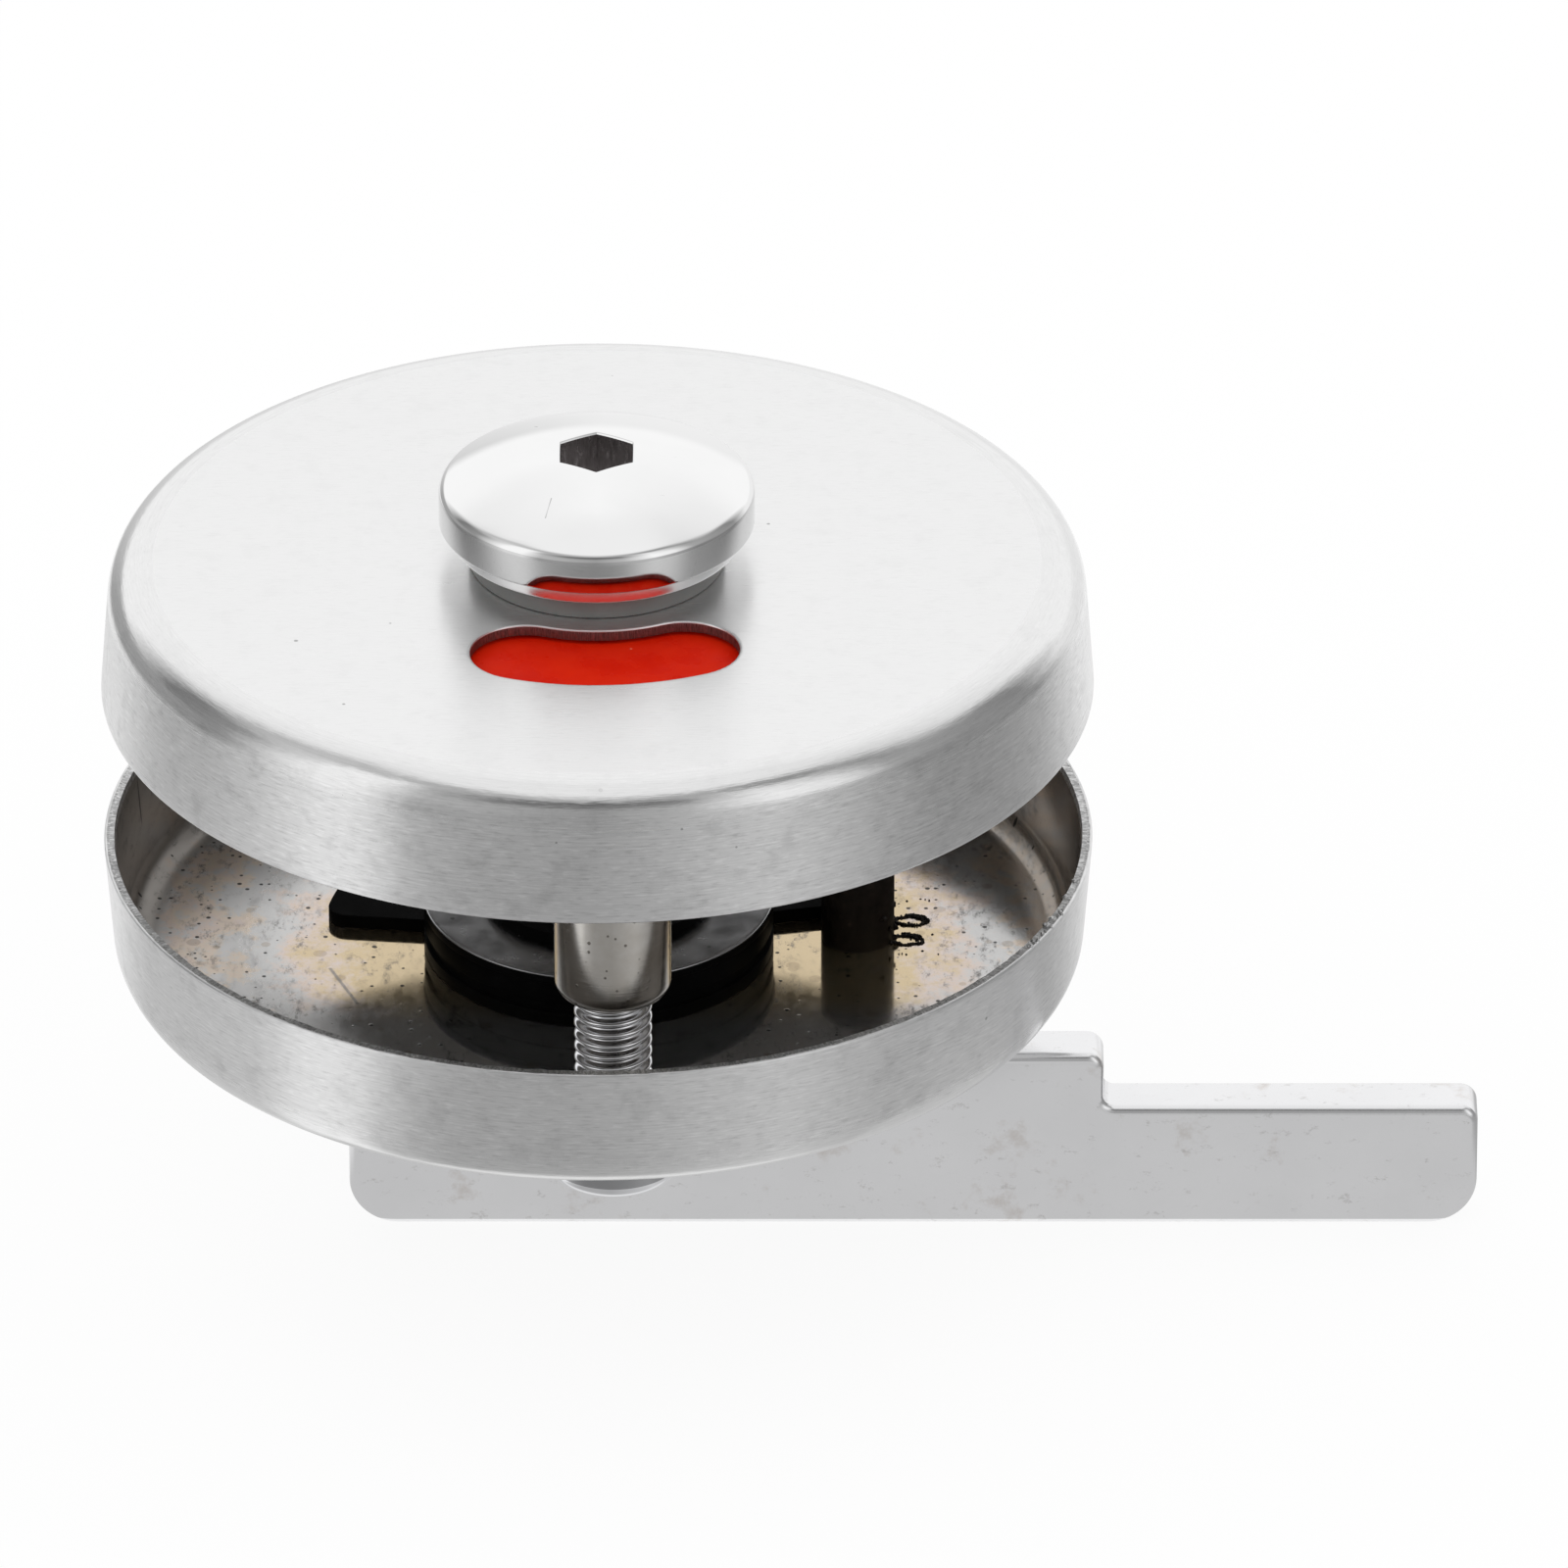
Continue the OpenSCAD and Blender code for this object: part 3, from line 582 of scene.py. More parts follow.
def cut_edge_steel(name, dark, pale):
    """Sheared edge of a sheet: torn across, with dark grit in the tears."""
    made, tree, shader = material(name, Metallic=1.0)
    tears = cloud(tree, coords(tree, "grain", (0.3, 1, 1)), 0.00022, 3.0, 0.7)
    chips = cloud(tree, coords(tree), 0.0007, 4.0)
    tone = ramp(tree, tears, (0.35, dark), (0.55, (dark + pale) / 2), (0.7, pale))
    tone = blend(tree, map_range(tree, chips, 0.55, 0.7, 0, 0.5), tone, dark * 0.7)
    rough = map_range(tree, tears, 0.3, 0.7, 0.55, 0.35)
    join(tree, shader, Base_Color=tone, Roughness=rough, Normal=bumped(tree, tears, 0.00005, 0.7))
    return made


inside_steel = rolled_steel("rolled_rose", 0.25, 0.24)
sheared_steel = cut_edge_steel("cut_edge", 0.35, 0.95)
# The walls of the punched holes take a much darker copy of the cut-edge finish: painted shade inside the
# holes.
shaded_punched_steel = cut_edge_steel("shaded_punched_edge", 0.12, 0.34)
mesh = pressed_cup(ROSE_HIGH.z, ROSE_LOW.z, [kidney, bore(JOURNAL_HOLE)])
outer_rose = finished(
    mesh, "outer_rose_shell", brushed_steel("brushed_face", 0.93, 0.3, 0.5),
    brushed_steel("brushed_wall", 0.80, 0.3, 2.5, ROSE_HIGH.z), inside_steel, sheared_steel, shaded_punched_steel,
)
fitted(outer_rose, "outer_half", "outer_rose")


# Posts: two round nickel-plated posts with a rounded tip, threaded inside and riveted to the
# inside of the outer rose. The clamp screws pull on them.
POST_BORE = 0.0028
POST_TIP_WALL = 0.00015
POST_TIP_MARGIN = 0.0003
TURNED_SIDES = 128


def middle_of(name):
    """Place of an upright piece's axis, and its radius along X."""
    low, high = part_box(name)
    return ((low.x + high.x) / 2, (low.y + high.y) / 2), (high.x - low.x) / 2


def turned(name, outline, surface, at=(0, 0)):
    """Piece turned about an upright axis. The outline goes once round its section."""
    mesh = new_mesh()
    skin(mesh, [circle(r, z, TURNED_SIDES, at) for r, z in outline])
    return finished(mesh, name, surface)


def nickel_plate(name):
    """Warm grey plating over turned steel, pitted, browner in broad patches."""
    made, tree, shader = material(name, Metallic=1.0)
    point = coords(tree)
    patches = cloud(tree, point, 0.004, 4.0)
    tone = ramp(tree, patches, (0.3, (0.47, 0.44, 0.395)), (0.7, (0.63, 0.615, 0.59)))
    pits = dots(tree, point, 0.0007, 0.00012, 0.5)
    tone = blend(tree, times(tree, pits, 0.75), tone, (0.10, 0.085, 0.07))
    turning = streaks(tree, 0.0001, 0.02)
    rough = map_range(tree, turning, 0.3, 0.7, 0.12, 0.22)
    relief = bumped(tree, pits, 0.00002, 0.4, bumped(tree, turning, 0.000005, 0.5))
    join(tree, shader, Base_Color=tone, Roughness=rough, Normal=relief)
    return made


post_plate = nickel_plate("nickel_post")
for post in ("front_post", "rear_post"):
    low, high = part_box(post)
    middle, wide = middle_of(post)
    tip = wide - POST_BORE - POST_TIP_WALL
    outline = [(POST_BORE, high.z), (wide, high.z), (wide, low.z + tip + POST_TIP_MARGIN)]
    outline += arc((wide - tip, low.z + tip), tip, 0, -90, 10)
    outline += [(POST_BORE, low.z), (POST_BORE, high.z)]
    made = turned(post + "_turned", outline, post_plate, at=middle)
    fitted(made, "outer_half", post)


# Spindle: a square steel bar with a round journal and a tenon, drawn and zinc plated. It carries
# the indicator disc and the button and turns with the lever.
def zinc_plate(name, pale, roughness):
    """Bright bluish zinc on steel, faintly mottled, with dull specks."""
    made, tree, shader = material(name, Metallic=1.0)
    point = coords(tree)
    mottle = cloud(tree, point, 0.0022, 5.0)
    shaded = (pale * 0.88, pale * 0.89, pale * 0.91)
    tone = ramp(tree, mottle, (0.3, shaded), (0.7, (pale, pale, pale * 1.02)))
    specks = dots(tree, point, 0.0013, 0.00014, 0.4)
    tone = blend(tree, times(tree, specks, 0.6), tone, 0.15)
    rough = map_range(tree, mottle, 0.3, 0.7, roughness - 0.04, roughness + 0.06)
    join(tree, shader, Base_Color=tone, Roughness=rough, Normal=bumped(tree, mottle, 0.00001, 0.15))
    return made


def dress(name, surface):
    """Gives a solid of the frame its finish."""
    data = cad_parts[name].data
    data.materials.clear()
    data.materials.append(surface)


zinc = zinc_plate("zinc_steel", 0.9, 0.1)
dress("spindle", zinc)


# Indicator disc: a white-coated steel disc under the face of the outer rose, with quarters of red
# and green film. Red stands behind the window while the bolt is locked.
def film(name, colour, light, dust_colour):
    """Smooth film or coat, a little lighter in clouds, with dust."""
    made, tree, shader = material(name, Specular_IOR_Level=0.06)
    clouds = cloud(tree, coords(tree), 0.003, 3.0)
    tone = ramp(tree, clouds, (0.35, colour), (0.7, light))
    dust = dots(tree, coords(tree), 0.0022, 0.0001, 0.3)
    tone = blend(tree, times(tree, dust, 0.5), tone, dust_colour)
    rough = map_range(tree, clouds, 0.3, 0.7, 0.24, 0.34)
    join(tree, shader, Base_Color=tone, Roughness=rough, Normal=bumped(tree, clouds, 0.00002, 0.2))
    return made


dress("indicator_disc", film("disc_white", (0.78, 0.78, 0.77), (0.86, 0.86, 0.85), 0.5))
dress("red_segments", film("red_film", (0.68, 0.012, 0.002), (0.76, 0.022, 0.004), (0.9, 0.35, 0.25)))
dress("green_segments", film("green_film", (0.016, 0.36, 0.07), (0.03, 0.42, 0.1), (0.6, 0.85, 0.65)))


# Cone spring and spindle clip: spring steel, hardened black. The clip snaps into the corners of
# the spindle and the spring draws the button down on the rose.
def blackened_steel(name, tone):
    """Black oxide on steel, worn a little paler in clouds."""
    made, tree, shader = material(name, Specular_IOR_Level=0.02)
    wear = cloud(tree, coords(tree), 0.0025, 5.0, 0.65)
    colour = ramp(tree, wear, (0.4, tone * 0.7), (0.65, tone * 1.3), (0.85, tone * 3))
    rough = map_range(tree, wear, 0.3, 0.75, 0.42, 0.56)
    join(tree, shader, Base_Color=colour, Roughness=rough, Normal=bumped(tree, wear, 0.00002, 0.2))
    return made


black = blackened_steel("black_steel", 0.005)
dress("cone_spring", black)
dress("spindle_clip", black)


# Washers under the button: a nylon one that rubs on the rose and a satin steel one above it. The
# edge of the steel one shows below the button.
WASHER_EDGE = 0.0002
WASHER_HOLE = 0.0041


def nylon_mould(name, tone):
    """Moulded nylon with a slight haze."""
    made, tree, shader = material(name, Subsurface_Weight=0.1, Subsurface_Scale=0.001)
    haze = cloud(tree, coords(tree), 0.0015, 3.0)
    shaded, light = (tone * 0.87, tone * 0.87, tone * 0.84), (tone, tone, tone * 0.97)
    tone = ramp(tree, haze, (0.3, shaded), (0.7, light))
    rough = map_range(tree, haze, 0.3, 0.7, 0.42, 0.55)
    join(tree, shader, Base_Color=tone, Roughness=rough, Normal=bumped(tree, haze, 0.00001, 0.3))
    return made


def polished_chrome(name, pale, roughness, marks=()):
    """Chrome plate, nearly a mirror, with a trace of haze and hairline scratches."""
    made, tree, shader = material(name, Metallic=1.0)
    point = coords(tree)
    haze = cloud(tree, point, 0.004, 3.0)
    tone = ramp(tree, haze, (0.3, pale * 0.98), (0.7, pale))
    hair = cloud(tree, coords(tree, stretch=(0.12, 1.0, 1.0)), 0.0004, 2.0)
    tone = blend(tree, map_range(tree, hair, 0.76, 0.8, 0, 0.12), tone, 0.4)
    for start, end, width in marks:
        tone = blend(tree, scratch(tree, point, start, end, width), tone, 0.5)
    rough = map_range(tree, haze, 0.3, 0.7, roughness, roughness + 0.03)
    join(tree, shader, Base_Color=tone, Roughness=rough, Normal=bumped(tree, hair, 0.000004, 0.04))
    return made


# The nylon washer is coloured dark as painted shade for the narrow gap under the button.
dress("friction_washer", nylon_mould("shade_dark_nylon", 0.2))
low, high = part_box("button_washer")
outer, edge = high.x, WASHER_EDGE
outline = [(WASHER_HOLE, low.z), (outer - edge, low.z)]
outline += arc((outer - edge, low.z + edge), edge, -90, 0, 4)[1:]
outline += arc((outer - edge, high.z - edge), edge, 0, 90, 4)
outline += [(WASHER_HOLE, high.z), (WASHER_HOLE, low.z)]
button_washer = turned("button_washer_ring", outline, polished_chrome("washer_steel", 0.95, 0.3))
fitted(button_washer, "indicator", "button_washer")


# Release button: a solid domed head, turned, polished and chromed, pressed on the spindle's
# tenon. A hexagon key in its socket opens the door from outside.
BUTTON_LOW, BUTTON_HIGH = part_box("release_button")
BUTTON_RADIUS = BUTTON_HIGH.x
BUTTON_SIDE = 0.0028
BUTTON_DOME = 0.0028
BUTTON_EDGE = 0.0010
BUTTON_FOOT = 0.00025
BUTTON_TOP = BUTTON_LOW.z + BUTTON_SIDE + BUTTON_DOME
BUTTON_RINGS = 24
BUTTON_SIDE_LOOPS = 14
KEY_FLATS = 0.005
KEY_DEPTH = 0.0032
KEY_RIM = 0.00016
KEY_CONE = 0.0004
TENON_HOLE = 0.00305
TENON_DEPTH = 0.0015
SIDE_POINTS = 32
KEY_RIM_PARTS = (0.3, 0.6, 1.0)
DOME, SOCKET, SIDE = range(3)


def hexagon(flats, height):
    """Loop round the key socket, with corners to the front and the rear."""
    corners = arc((0, 0), flats / math.sqrt(3), 30, 390, 6)
    points = []
    for (x0, y0), (x1, y1) in zip(corners, corners[1:]):
        for step in range(SIDE_POINTS):
            part = step / SIDE_POINTS
            points.append((x0 + (x1 - x0) * part, y0 + (y1 - y0) * part, height))
    return points


def dome_height(x, y):
    """Height of the button's dome over a point."""
    return ball_z + math.sqrt(ball ** 2 - x ** 2 - y ** 2)


def socket_steel(name):
    """Broached walls of the socket: dull and dark, with a few bright scrapes."""
    made, tree, shader = material(name, Metallic=1.0)
    scrapes = cloud(tree, coords(tree, stretch=(1, 1, 0.25)), 0.0003, 4.0)
    socket_dark_tone, dull = (0.34, 0.32, 0.32), (0.52, 0.5, 0.5)
    tone = ramp(tree, scrapes, (0.3, socket_dark_tone), (0.6, dull), (0.72, 0.9))
    rough = map_range(tree, scrapes, 0.3, 0.7, 0.34, 0.26)
    join(tree, shader, Base_Color=tone, Roughness=rough, Normal=bumped(tree, scrapes, 0.00002, 0.4))
    return made


ball = (BUTTON_RADIUS ** 2 + BUTTON_DOME ** 2) / (2 * BUTTON_DOME)
ball_z = BUTTON_TOP - ball
edge_x = BUTTON_RADIUS - BUTTON_EDGE
edge_z = ball_z + math.sqrt((ball - BUTTON_EDGE) ** 2 - edge_x ** 2)
lean = math.degrees(math.atan2(edge_z - ball_z, edge_x))
points = 6 * SIDE_POINTS
sides = [(TENON_HOLE, BUTTON_LOW.z + TENON_DEPTH), (TENON_HOLE, BUTTON_LOW.z)]
sides += arc((BUTTON_RADIUS - BUTTON_FOOT, BUTTON_LOW.z + BUTTON_FOOT), BUTTON_FOOT, -90, 0, 6)
sides += arc((edge_x, edge_z), BUTTON_EDGE, 0, lean, 10)
shift = points // 12
head = [[(0, 0, BUTTON_LOW.z + TENON_DEPTH)]]
for radius, height in sides:
    ring = circle(radius, height, points)
    head.append(ring[shift:] + ring[:shift])
border = head[-1]
mouth = hexagon(KEY_FLATS + 2 * KEY_RIM, 0)
for step in range(1, BUTTON_RINGS + 1):
    part = step / BUTTON_RINGS
    loop = []
    for (x0, y0, _), (x1, y1, _) in zip(border, mouth):
        x, y = x0 + (x1 - x0) * part, y0 + (y1 - y0) * part
        loop.append((x, y, dome_height(x, y)))
    head.append(loop)
for part in KEY_RIM_PARTS:
    flats = KEY_FLATS + 2 * KEY_RIM * (1 - part)
    fall = KEY_RIM * part ** 2
    head.append([(x, y, dome_height(x, y) - fall) for x, y, _ in hexagon(flats, 0)])
floor_z = BUTTON_TOP - KEY_DEPTH
socket = [head[-1], hexagon(KEY_FLATS, floor_z), hexagon(KEY_FLATS * 0.9, floor_z)]
socket.append([(0, 0, floor_z - KEY_CONE)])
mesh = new_mesh()
skin(mesh, head[:BUTTON_SIDE_LOOPS], SIDE)
skin(mesh, head[BUTTON_SIDE_LOOPS - 1:], DOME)
skin(mesh, socket, SOCKET)
dome_marks = (
    ((-0.0049, 0.0060, 0.0294), (-0.0042, 0.0052, 0.0295), 0.00007),
    ((-0.0031, -0.0056, 0.0296), (-0.0035, -0.0074, 0.0290), 0.00006),
)
# The side of the button takes a darker copy of the chrome: painted shade, for the plating is the same all
# over.
button = finished(
    mesh, "button_head", polished_chrome("polished_chrome", 0.93, 0.04, dome_marks),
    socket_steel("socket_steel"), polished_chrome("shaded_chrome_side", 0.68, 0.04), sharp=30.0,
)
fitted(button, "indicator", "release_button")


# Inner rose: the same pressing as the outer one, face down, with holes for the bush and the two
# screws. Its floor is rolled sheet, coloured in rings by the heat of welding.
INNER_LOW, INNER_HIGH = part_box("inner_rose")
BUSH_HOLE = 0.00705
SCREW_HOLE = 0.003
BURR_BEARINGS = (-29.0, -11.0)
BURR_COUNT = 22
BURR_INSET = (0.0002, 0.0007)
BURR_SINK = 0.00005
BURR_SIZE = (0.00008, 0.00024)


def lump(mesh, centre, sizes, salt, slot=0):
    """Adds a small uneven bead of metal, with half sizes drawn between two values."""
    size = [draw.uniform(*sizes) for axis in range(3)]
    made = bmesh.ops.create_icosphere(mesh, subdivisions=2, radius=1.0)
    for vert in made["verts"]:
        swell = 1 + 0.5 * noise.noise(vert.co * 1.7 + Vector((salt, 0, 0)))
        vert.co = Vector(centre) + Vector(size) * vert.co * swell
        for face in vert.link_faces:
            face.material_index = slot


screws = ("front_screw", "rear_screw")
holes = [bore(BUSH_HOLE)] + [bore(SCREW_HOLE, middle_of(screw)[0]) for screw in screws]
mesh = pressed_cup(INNER_LOW.z, INNER_HIGH.z, holes)
draw = random.Random(4)
for count in range(BURR_COUNT):
    bearing = math.radians(draw.uniform(*BURR_BEARINGS))
    out = ROSE_RADIUS - draw.uniform(*BURR_INSET)
    centre = (out * math.cos(bearing), out * math.sin(bearing), INNER_HIGH.z - BURR_SINK)
    lump(mesh, centre, BURR_SIZE, count, RIM)
wall_marks = (((0.0102, -0.0330, -0.00345), (0.0109, -0.03285, -0.0026), 0.00016),)
satin = brushed_steel("satin_wall", 0.80, 0.32, 2.2, INNER_LOW.z, wall_marks)
inner_rose = finished(
    mesh, "inner_rose_shell", satin, satin, rolled_steel("stained_rose", 1.0, 0.06),
    sheared_steel, shaded_punched_steel,
)
fitted(inner_rose, "inner_half", "inner_rose")


# Hub bush: a flanged sleeve, moulded in nylon and snapped into the hole of the inner rose. The hub
# of the lever turns in it.
dress("hub_bush", nylon_mould("pale_nylon", 0.76))


# Stop pin: a short peg of raw steel, welded to the floor of the inner rose and burnt dark by it.
# Curls and drops of spatter lie on the floor beside it.
PIN_CHAMFER = 0.0004
# Centre and half sizes of each curl of spatter, and the number of beads in it
CURLS = ((0.0221, 0.0030, 0.0012, 0.0007, 64), (0.0218, 0.0002, 0.0012, 0.0007, 64))
CURL_BEAD = (0.00008, 0.00017)
CURL_TURN = 2.6 * math.pi
CURL_LIFT = 0.00004
DROPS = 16
DROP_X, DROP_Y = (0.0208, 0.0242), (-0.0022, 0.0066)
DROP_SIZE = (0.00005, 0.00012)
# Beads of weld on the side of the pin
WELD_BEADS = 12
WELD_TURN = (-60, 60)
WELD_RISE = (0.0, 0.0028)
WELD_STAND = 0.00002
WELD_SIZE = (0.00012, 0.0003)


def burnt_steel(name):
    """Raw steel blackened by welding, scaly, brown where the scale is thin."""
    made, tree, shader = material(name, Specular_IOR_Level=0.3)
    scale = cloud(tree, coords(tree), 0.0011, 6.0, 0.7)
    brown, rust = (0.016, 0.011, 0.008), (0.06, 0.038, 0.025)
    tone = ramp(tree, scale, (0.35, (0.004, 0.003, 0.003)), (0.6, brown), (0.82, rust))
    rough = map_range(tree, scale, 0.3, 0.7, 0.38, 0.6)
    join(tree, shader, Base_Color=tone, Roughness=rough, Normal=bumped(tree, scale, 0.00006, 0.5))
    return made


low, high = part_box("stop_pin")
pin_middle, pin_radius = middle_of("stop_pin")
outline = [(0, low.z), (pin_radius, low.z)]
outline += [(pin_radius, low.z + (high.z - PIN_CHAMFER - low.z) * part / 8) for part in range(1, 9)]
outline += [(pin_radius - PIN_CHAMFER, high.z), (0, high.z)]
mesh = new_mesh()
skin(mesh, [circle(r, z, 96, pin_middle) for r, z in outline])
draw = random.Random(9)
for x, y, wide, deep, beads in CURLS:
    for bead in range(beads):
        turn = CURL_TURN * bead / beads
        out = 0.75 + 0.35 * bead / beads + 0.25 * noise.noise(Vector((x * 9000, bead * 0.21, 0)))
        centre = (x + out * wide * math.cos(turn), y + out * deep * math.sin(turn), low.z + CURL_LIFT)
        lump(mesh, centre, CURL_BEAD, bead)
for drop in range(DROPS):
    centre = (draw.uniform(*DROP_X), draw.uniform(*DROP_Y), low.z)
    lump(mesh, centre, DROP_SIZE, drop)
for bead in range(WELD_BEADS):
    turn = math.radians(draw.uniform(*WELD_TURN))
    out = pin_radius + WELD_STAND
    centre = (pin_middle[0] + out * math.cos(turn), pin_middle[1] + out * math.sin(turn),
              low.z + draw.uniform(*WELD_RISE))
    lump(mesh, centre, WELD_SIZE, bead)
stop_pin = finished(mesh, "stop_pin_peg", burnt_steel("burnt_steel"))
fitted(stop_pin, "inner_half", "stop_pin")


# Clamp screws: zinc-plated steel with a rolled thread and a pan head with a cross recess. They
# pass up through the inner rose into the posts and draw the two roses together on the door.
THREAD_RADIUS = 0.00275
THREAD_PITCH = 0.0009
THREAD_DEPTH = 0.0005
THREAD_SIDES = 96
THREAD_STEPS = 16
HEAD_SIDE = 0.0031
HEAD_EDGE = 0.0010
HEAD_CHAMFER = 0.00015
RECESS_LENGTH = 0.005
RECESS_WIDTH = 0.0011
RECESS_DEPTH = 0.0019
RECESS_OVERRUN = 0.0002


def thread_radius(turn, height):
    """Radius of the rolled thread: round crests and roots along a helix."""
    along = height / THREAD_PITCH - turn / (2 * math.pi)
    return THREAD_RADIUS - THREAD_DEPTH * (0.5 - 0.5 * math.cos(2 * math.pi * along))


def recess_cutter(centre, low, name):
    """Cross with tapering arms, for the recess of a screw head."""
    mesh = bmesh.new()
    for turn in (0, 90):
        wide, narrow = (RECESS_LENGTH / 2, RECESS_WIDTH / 2), (RECESS_LENGTH / 4, RECESS_WIDTH / 3)
        rows = []
        for (along, across), height in ((wide, low - RECESS_OVERRUN), (narrow, low + RECESS_DEPTH)):
            corners = [(-along, -across), (along, -across), (along, across), (-along, across)]
            if turn:
                corners = [(-y, x) for x, y in corners]
            rows.append([mesh.verts.new((centre[0] + x, centre[1] + y, height)) for x, y in corners])
        mesh.faces.new(rows[0][::-1])
        mesh.faces.new(rows[1])
        for i in range(4):
            mesh.faces.new((rows[0][i - 1], rows[0][i], rows[1][i], rows[1][i - 1]))
    data = bpy.data.meshes.new(name)
    mesh.to_mesh(data)
    mesh.free()
    return placed(name, data)


def carved(target, cutter):
    """Cuts the cutter's shape out of the target and removes the cutter."""
    step = target.modifiers.new("recess", "BOOLEAN")
    step.object = cutter
    step.operation = "DIFFERENCE"
    step.solver = "EXACT"
    step.use_self = True
    ready = target.evaluated_get(bpy.context.evaluated_depsgraph_get())
    data = bpy.data.meshes.new_from_object(ready)
    target.modifiers.clear()
    target.data = data
    bpy.data.objects.remove(cutter)


# A darker, duller copy of the zinc for the sides of the screw heads: painted shade, for the plating is the
# same.
shaded_dull_zinc = zinc_plate("shaded_dull_zinc", 0.42, 0.16)
for screw in screws:
    low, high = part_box(screw)
    middle, head = middle_of(screw)
    seat = INNER_LOW.z
    dome = seat - low.z - HEAD_SIDE
    ball = (head ** 2 + dome ** 2) / (2 * dome)
    ball_z = low.z + ball
    edge_x = head - HEAD_EDGE
    edge_z = ball_z - math.sqrt((ball - HEAD_EDGE) ** 2 - edge_x ** 2)
    lean = math.degrees(math.atan2(ball_z - edge_z, edge_x))
    outline = [(0, low.z)]
    outline += [(ball * math.sin(t), ball_z - ball * math.cos(t))
                for t in [math.radians((90 - lean) * step / 12) for step in range(1, 12)]]
    outline += arc((edge_x, edge_z), HEAD_EDGE, -lean, 0, 8)
    below_side = len(outline)
    outline += [(head, seat - HEAD_CHAMFER), (head - HEAD_CHAMFER, seat), (THREAD_RADIUS * 0.9, seat)]
    loops = [circle(r, z, THREAD_SIDES, middle) for r, z in outline]
    count = round((high.z - seat) / THREAD_PITCH * THREAD_STEPS)
    for step in range(1, count + 1):
        height = seat + (high.z - seat) * step / count
        loop = []
        for i in range(THREAD_SIDES):
            turn = 2 * math.pi * i / THREAD_SIDES
            radius = thread_radius(turn, height)
            loop.append((middle[0] + radius * math.cos(turn), middle[1] + radius * math.sin(turn), height))
        loops.append(loop)
    loops.append([(*middle, high.z)])
    mesh = new_mesh()
    skin(mesh, loops[:below_side])
    # The side of the head takes the darker zinc, painted shade.
    skin(mesh, loops[below_side - 1:below_side + 1], 1)
    skin(mesh, loops[below_side:])
    made = finished(mesh, screw + "_threaded", zinc, shaded_dull_zinc)
    carved(made, recess_cutter(middle, low.z, screw + "_cutter"))
    fitted(made, "inner_half", screw)


# Lever hub and thrust washer: a turned steel hub with a square socket for the spindle and a slot
# over the lever, and a brass washer between its collar and the bush.
def stamped_brass(name):
    """Brass sheet, dulled unevenly."""
    made, tree, shader = material(name, Metallic=1.0)
    dull = cloud(tree, coords(tree), 0.003, 4.0)
    tone = ramp(tree, dull, (0.3, (0.50, 0.36, 0.15)), (0.7, (0.74, 0.57, 0.28)))
    join(tree, shader, Base_Color=tone, Roughness=map_range(tree, dull, 0.3, 0.7, 0.4, 0.25))
    return made


def bright_plate(name):
    """Bright plating over a stamped bar: even and pale, with pits, brown smudges and small dents."""
    made, tree, shader = material(name, Metallic=1.0)
    point = coords(tree)
    clouds = cloud(tree, point, 0.006, 4.0)
    tone = ramp(tree, clouds, (0.3, (0.845, 0.845, 0.855)), (0.7, (0.885, 0.885, 0.895)))
    smudge = cloud(tree, point, 0.0035, 5.0, 0.65)
    tone = blend(tree, map_range(tree, smudge, 0.58, 0.74, 0, 0.4), tone, (0.55, 0.48, 0.42))
    hair = cloud(tree, coords(tree, stretch=(0.7, 1, 1.2)), 0.0009, 6.0, 0.75)
    tone = blend(tree, map_range(tree, hair, 0.58, 0.70, 0, 0.4), tone, (0.45, 0.43, 0.41))
    pits = dots(tree, point, 0.0036, 0.0002, 0.5)
    tone = blend(tree, times(tree, pits, 0.8), tone, (0.13, 0.12, 0.12))
    rough = map_range(tree, clouds, 0.3, 0.7, 0.13, 0.2)
    relief = bumped(tree, pits, 0.00003, 0.3, bumped(tree, hair, 0.00002, 0.3))
    join(tree, shader, Base_Color=tone, Roughness=rough, Normal=relief)
    return made


plate = bright_plate("plated_lever")
dress("lever_hub", plate)
dress("thrust_washer", stamped_brass("brass"))


# Lever: a flat bar stamped from 4 mm plate with a step at the edge of the rose, tumbled so that
# its edges are round, then plated bright. A rivet through the hub's cheeks holds it.
BAR_LOW, BAR_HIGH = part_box("lever_bar")
BAR_STEP_X = 0.0359
BAR_STEP_H = 0.0043
BAR_LOW_CORNER = 0.0035
BAR_TOP_CORNER = 0.0012
BAR_STEP_CORNER = 0.0008
BAR_EDGE = 0.0006
EDGE_MARGIN = 0.0002


def bar_outline(inset):
    """Points round the lever seen from the front, moved inwards by inset."""
    left, right, low, top = BAR_LOW.x, BAR_HIGH.x, BAR_LOW.z, BAR_HIGH.z
    arm = top - BAR_STEP_H
    corner, top_corner, step = BAR_LOW_CORNER, BAR_TOP_CORNER, BAR_STEP_CORNER
    points = arc((left + corner, low + corner), corner - inset, 180, 270, 16)
    points += arc((right - corner, low + corner), corner - inset, 270, 360, 16)
    points += arc((right - top_corner, arm - top_corner), top_corner - inset, 0, 90, 10)
    points += arc((BAR_STEP_X + step, arm + step), step + inset, 270, 180, 8)
    points += arc((BAR_STEP_X - top_corner, top - top_corner), top_corner - inset, 0, 90, 10)
    points += arc((left + top_corner, top - top_corner), top_corner - inset, 90, 180, 10)
    return points


def rounded_edge(edge, steps):
    """Inset and depth of each row of points from a flat face round its edge."""
    turns = [math.pi / 2 * step / steps for step in range(steps + 1)]
    return [(edge + EDGE_MARGIN, 0.0)] + [(edge * (1 - math.sin(t)), edge * (1 - math.cos(t))) for t in turns]


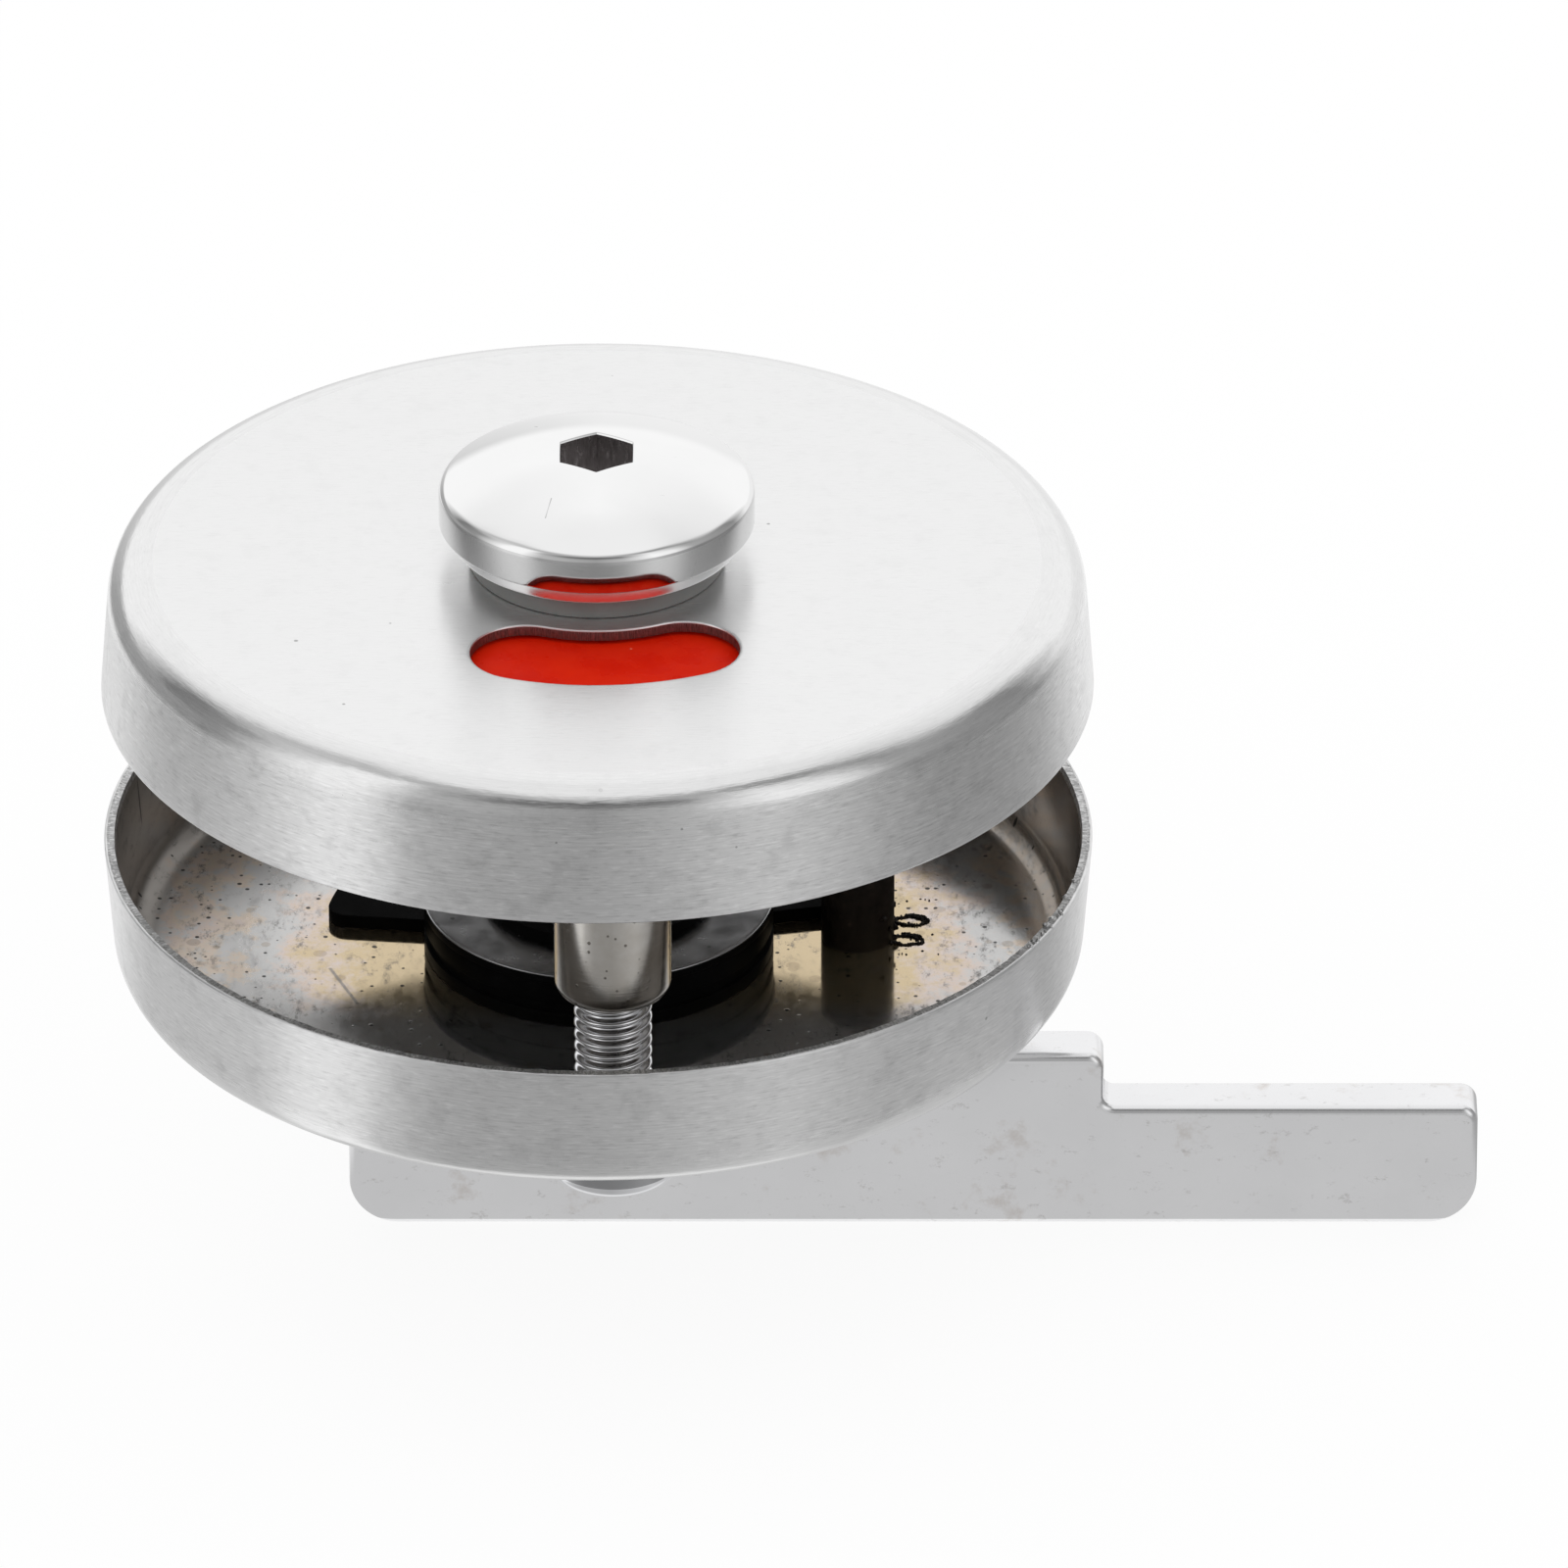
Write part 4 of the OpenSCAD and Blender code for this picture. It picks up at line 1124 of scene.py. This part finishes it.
mesh = new_mesh()
rows = rounded_edge(BAR_EDGE, 8)
front, back = BAR_LOW.y, BAR_HIGH.y
loops = [[(x, front + depth, z) for x, z in bar_outline(inset)] for inset, depth in rows]
loops += [[(x, back - depth, z) for x, z in bar_outline(inset)] for inset, depth in rows[::-1]]
skin(mesh, loops)
flat(mesh, loops[:1])
flat(mesh, loops[-1:])
lever = finished(mesh, "lever_plate", plate)
fitted(lever, "latch", "lever_bar")
dress("lever_rivet", zinc)


# Cam, drum, cover washer and retaining ring: stacked on the keyed top of the hub inside the inner
# rose. The pin stops the cam's half-moon wing at both ends of the lever's travel; a gap is left
# between them here.
KEY_RADIUS = 0.0061
KEY_HALF = 0.0046
CAM_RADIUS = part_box("stop_cam")[1].y
CAM_TRAVEL = 180.0
CAM_SINK = 0.00026
CAM_WING = 0.0007
CAM_TIP = 0.0015
DRUM_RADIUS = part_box("cam_drum")[1].x
BOSS_STEP = 0.0003
PLATE_SIDES = 192
PLATE_EDGE = 0.00005
COVER_EDGE = 0.00015
PIN_GAP = 0.0003
pin_reach = math.hypot(*pin_middle)
pin_bearing = math.degrees(math.atan2(pin_middle[1], pin_middle[0]))
pin_shadow = math.degrees(math.asin((pin_radius + PIN_GAP) / pin_reach))


def keyhole(height):
    """Loop round the hole for the keyed top of the hub: a circle with two flats."""
    lean = math.degrees(math.asin(KEY_HALF / KEY_RADIUS))
    points = arc((0, 0), KEY_RADIUS, -lean, lean, 16) + arc((0, 0), KEY_RADIUS, 180 - lean, 180 + lean, 16)
    return [(x, y, height) for x, y in points]


def round_border(radius):
    """Outline of a round plate, moved inwards by inset."""
    return lambda inset, height: circle(radius - inset, height, PLATE_SIDES)


def cam_border(inset, height):
    """Outline of the cam, moved inwards by inset: a round middle and a wing with round tips."""
    start = pin_bearing + pin_shadow
    end = start + CAM_TRAVEL - 2 * pin_shadow
    lean = math.degrees(math.asin(CAM_TIP / (CAM_RADIUS - CAM_TIP)))
    tips = [arc((0, 0), CAM_RADIUS - CAM_TIP, at, at, 1)[0] for at in (start + lean, end - lean)]
    middle = DRUM_RADIUS - inset
    root = math.degrees(math.asin(inset / middle))
    points = arc(tips[0], CAM_TIP - inset, start - 90, start + lean, 10)[:-1]
    points += arc((0, 0), CAM_RADIUS - inset, start + lean, end - lean, 96)
    points += arc(tips[1], CAM_TIP - inset, end - lean, end + 90, 10)[1:]
    points += arc((0, 0), middle, end - root, start + root + 360, 96)
    return [(x, y, height) for x, y in points]


def plate_loops(border, bottom, top, edge):
    """Loops round a plate with rounded edges: up to the edge of its top face, and from there on."""
    rows = rounded_edge(edge, 4)
    below = [border(inset, bottom + depth) for inset, depth in rows]
    above = [border(inset, top - depth) for inset, depth in rows[::-1]]
    return below + above[:1], above


def keyed_plate(node_name, border, edge):
    """Round plate on the keyed top of the hub. Its side and underside take the second finish."""
    low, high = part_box(node_name)
    below, above = plate_loops(border, low.z, high.z, edge)
    wall = [keyhole(low.z), keyhole(high.z)]
    mesh = new_mesh()
    skin(mesh, below, 1)
    skin(mesh, above)
    skin(mesh, wall, 1)
    flat(mesh, [below[0], wall[0]], 1)
    flat(mesh, [above[-1], wall[1]])
    return mesh


def on_hub(mesh, name, node_name, slot, *surfaces):
    """Finishes a plate, which turns with the lever in the place of its solid."""
    fitted(finished(mesh, name, *surfaces), "latch", node_name)


low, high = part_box("stop_cam")
wing, wing_top = plate_loops(cam_border, low.z - CAM_SINK, low.z + CAM_WING, PLATE_EDGE)
boss = [circle(DRUM_RADIUS - BOSS_STEP, height, PLATE_SIDES) for height in (low.z + CAM_WING, high.z)]
wall = [keyhole(low.z - CAM_SINK), keyhole(high.z)]
mesh = new_mesh()
for loops in (wing, wing_top, boss, wall):
    skin(mesh, loops)
for loops in ((wing[0], wall[0]), (wing_top[-1], boss[0]), (boss[1], wall[1])):
    flat(mesh, loops)
on_hub(mesh, "stop_cam_plate", "stop_cam", "black_steel", black)
mesh = keyed_plate("cam_drum", round_border(DRUM_RADIUS), PLATE_EDGE)
on_hub(mesh, "cam_drum_turned", "cam_drum", "black_steel", black, black)
mesh = keyed_plate("cover_washer", round_border(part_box("cover_washer")[1].x), COVER_EDGE)
cover_zinc = zinc_plate("cover_zinc", 0.5, 0.22)
on_hub(mesh, "cover_washer_disc", "cover_washer", "zinc_steel", cover_zinc, black)
dress("hub_circlip", black)
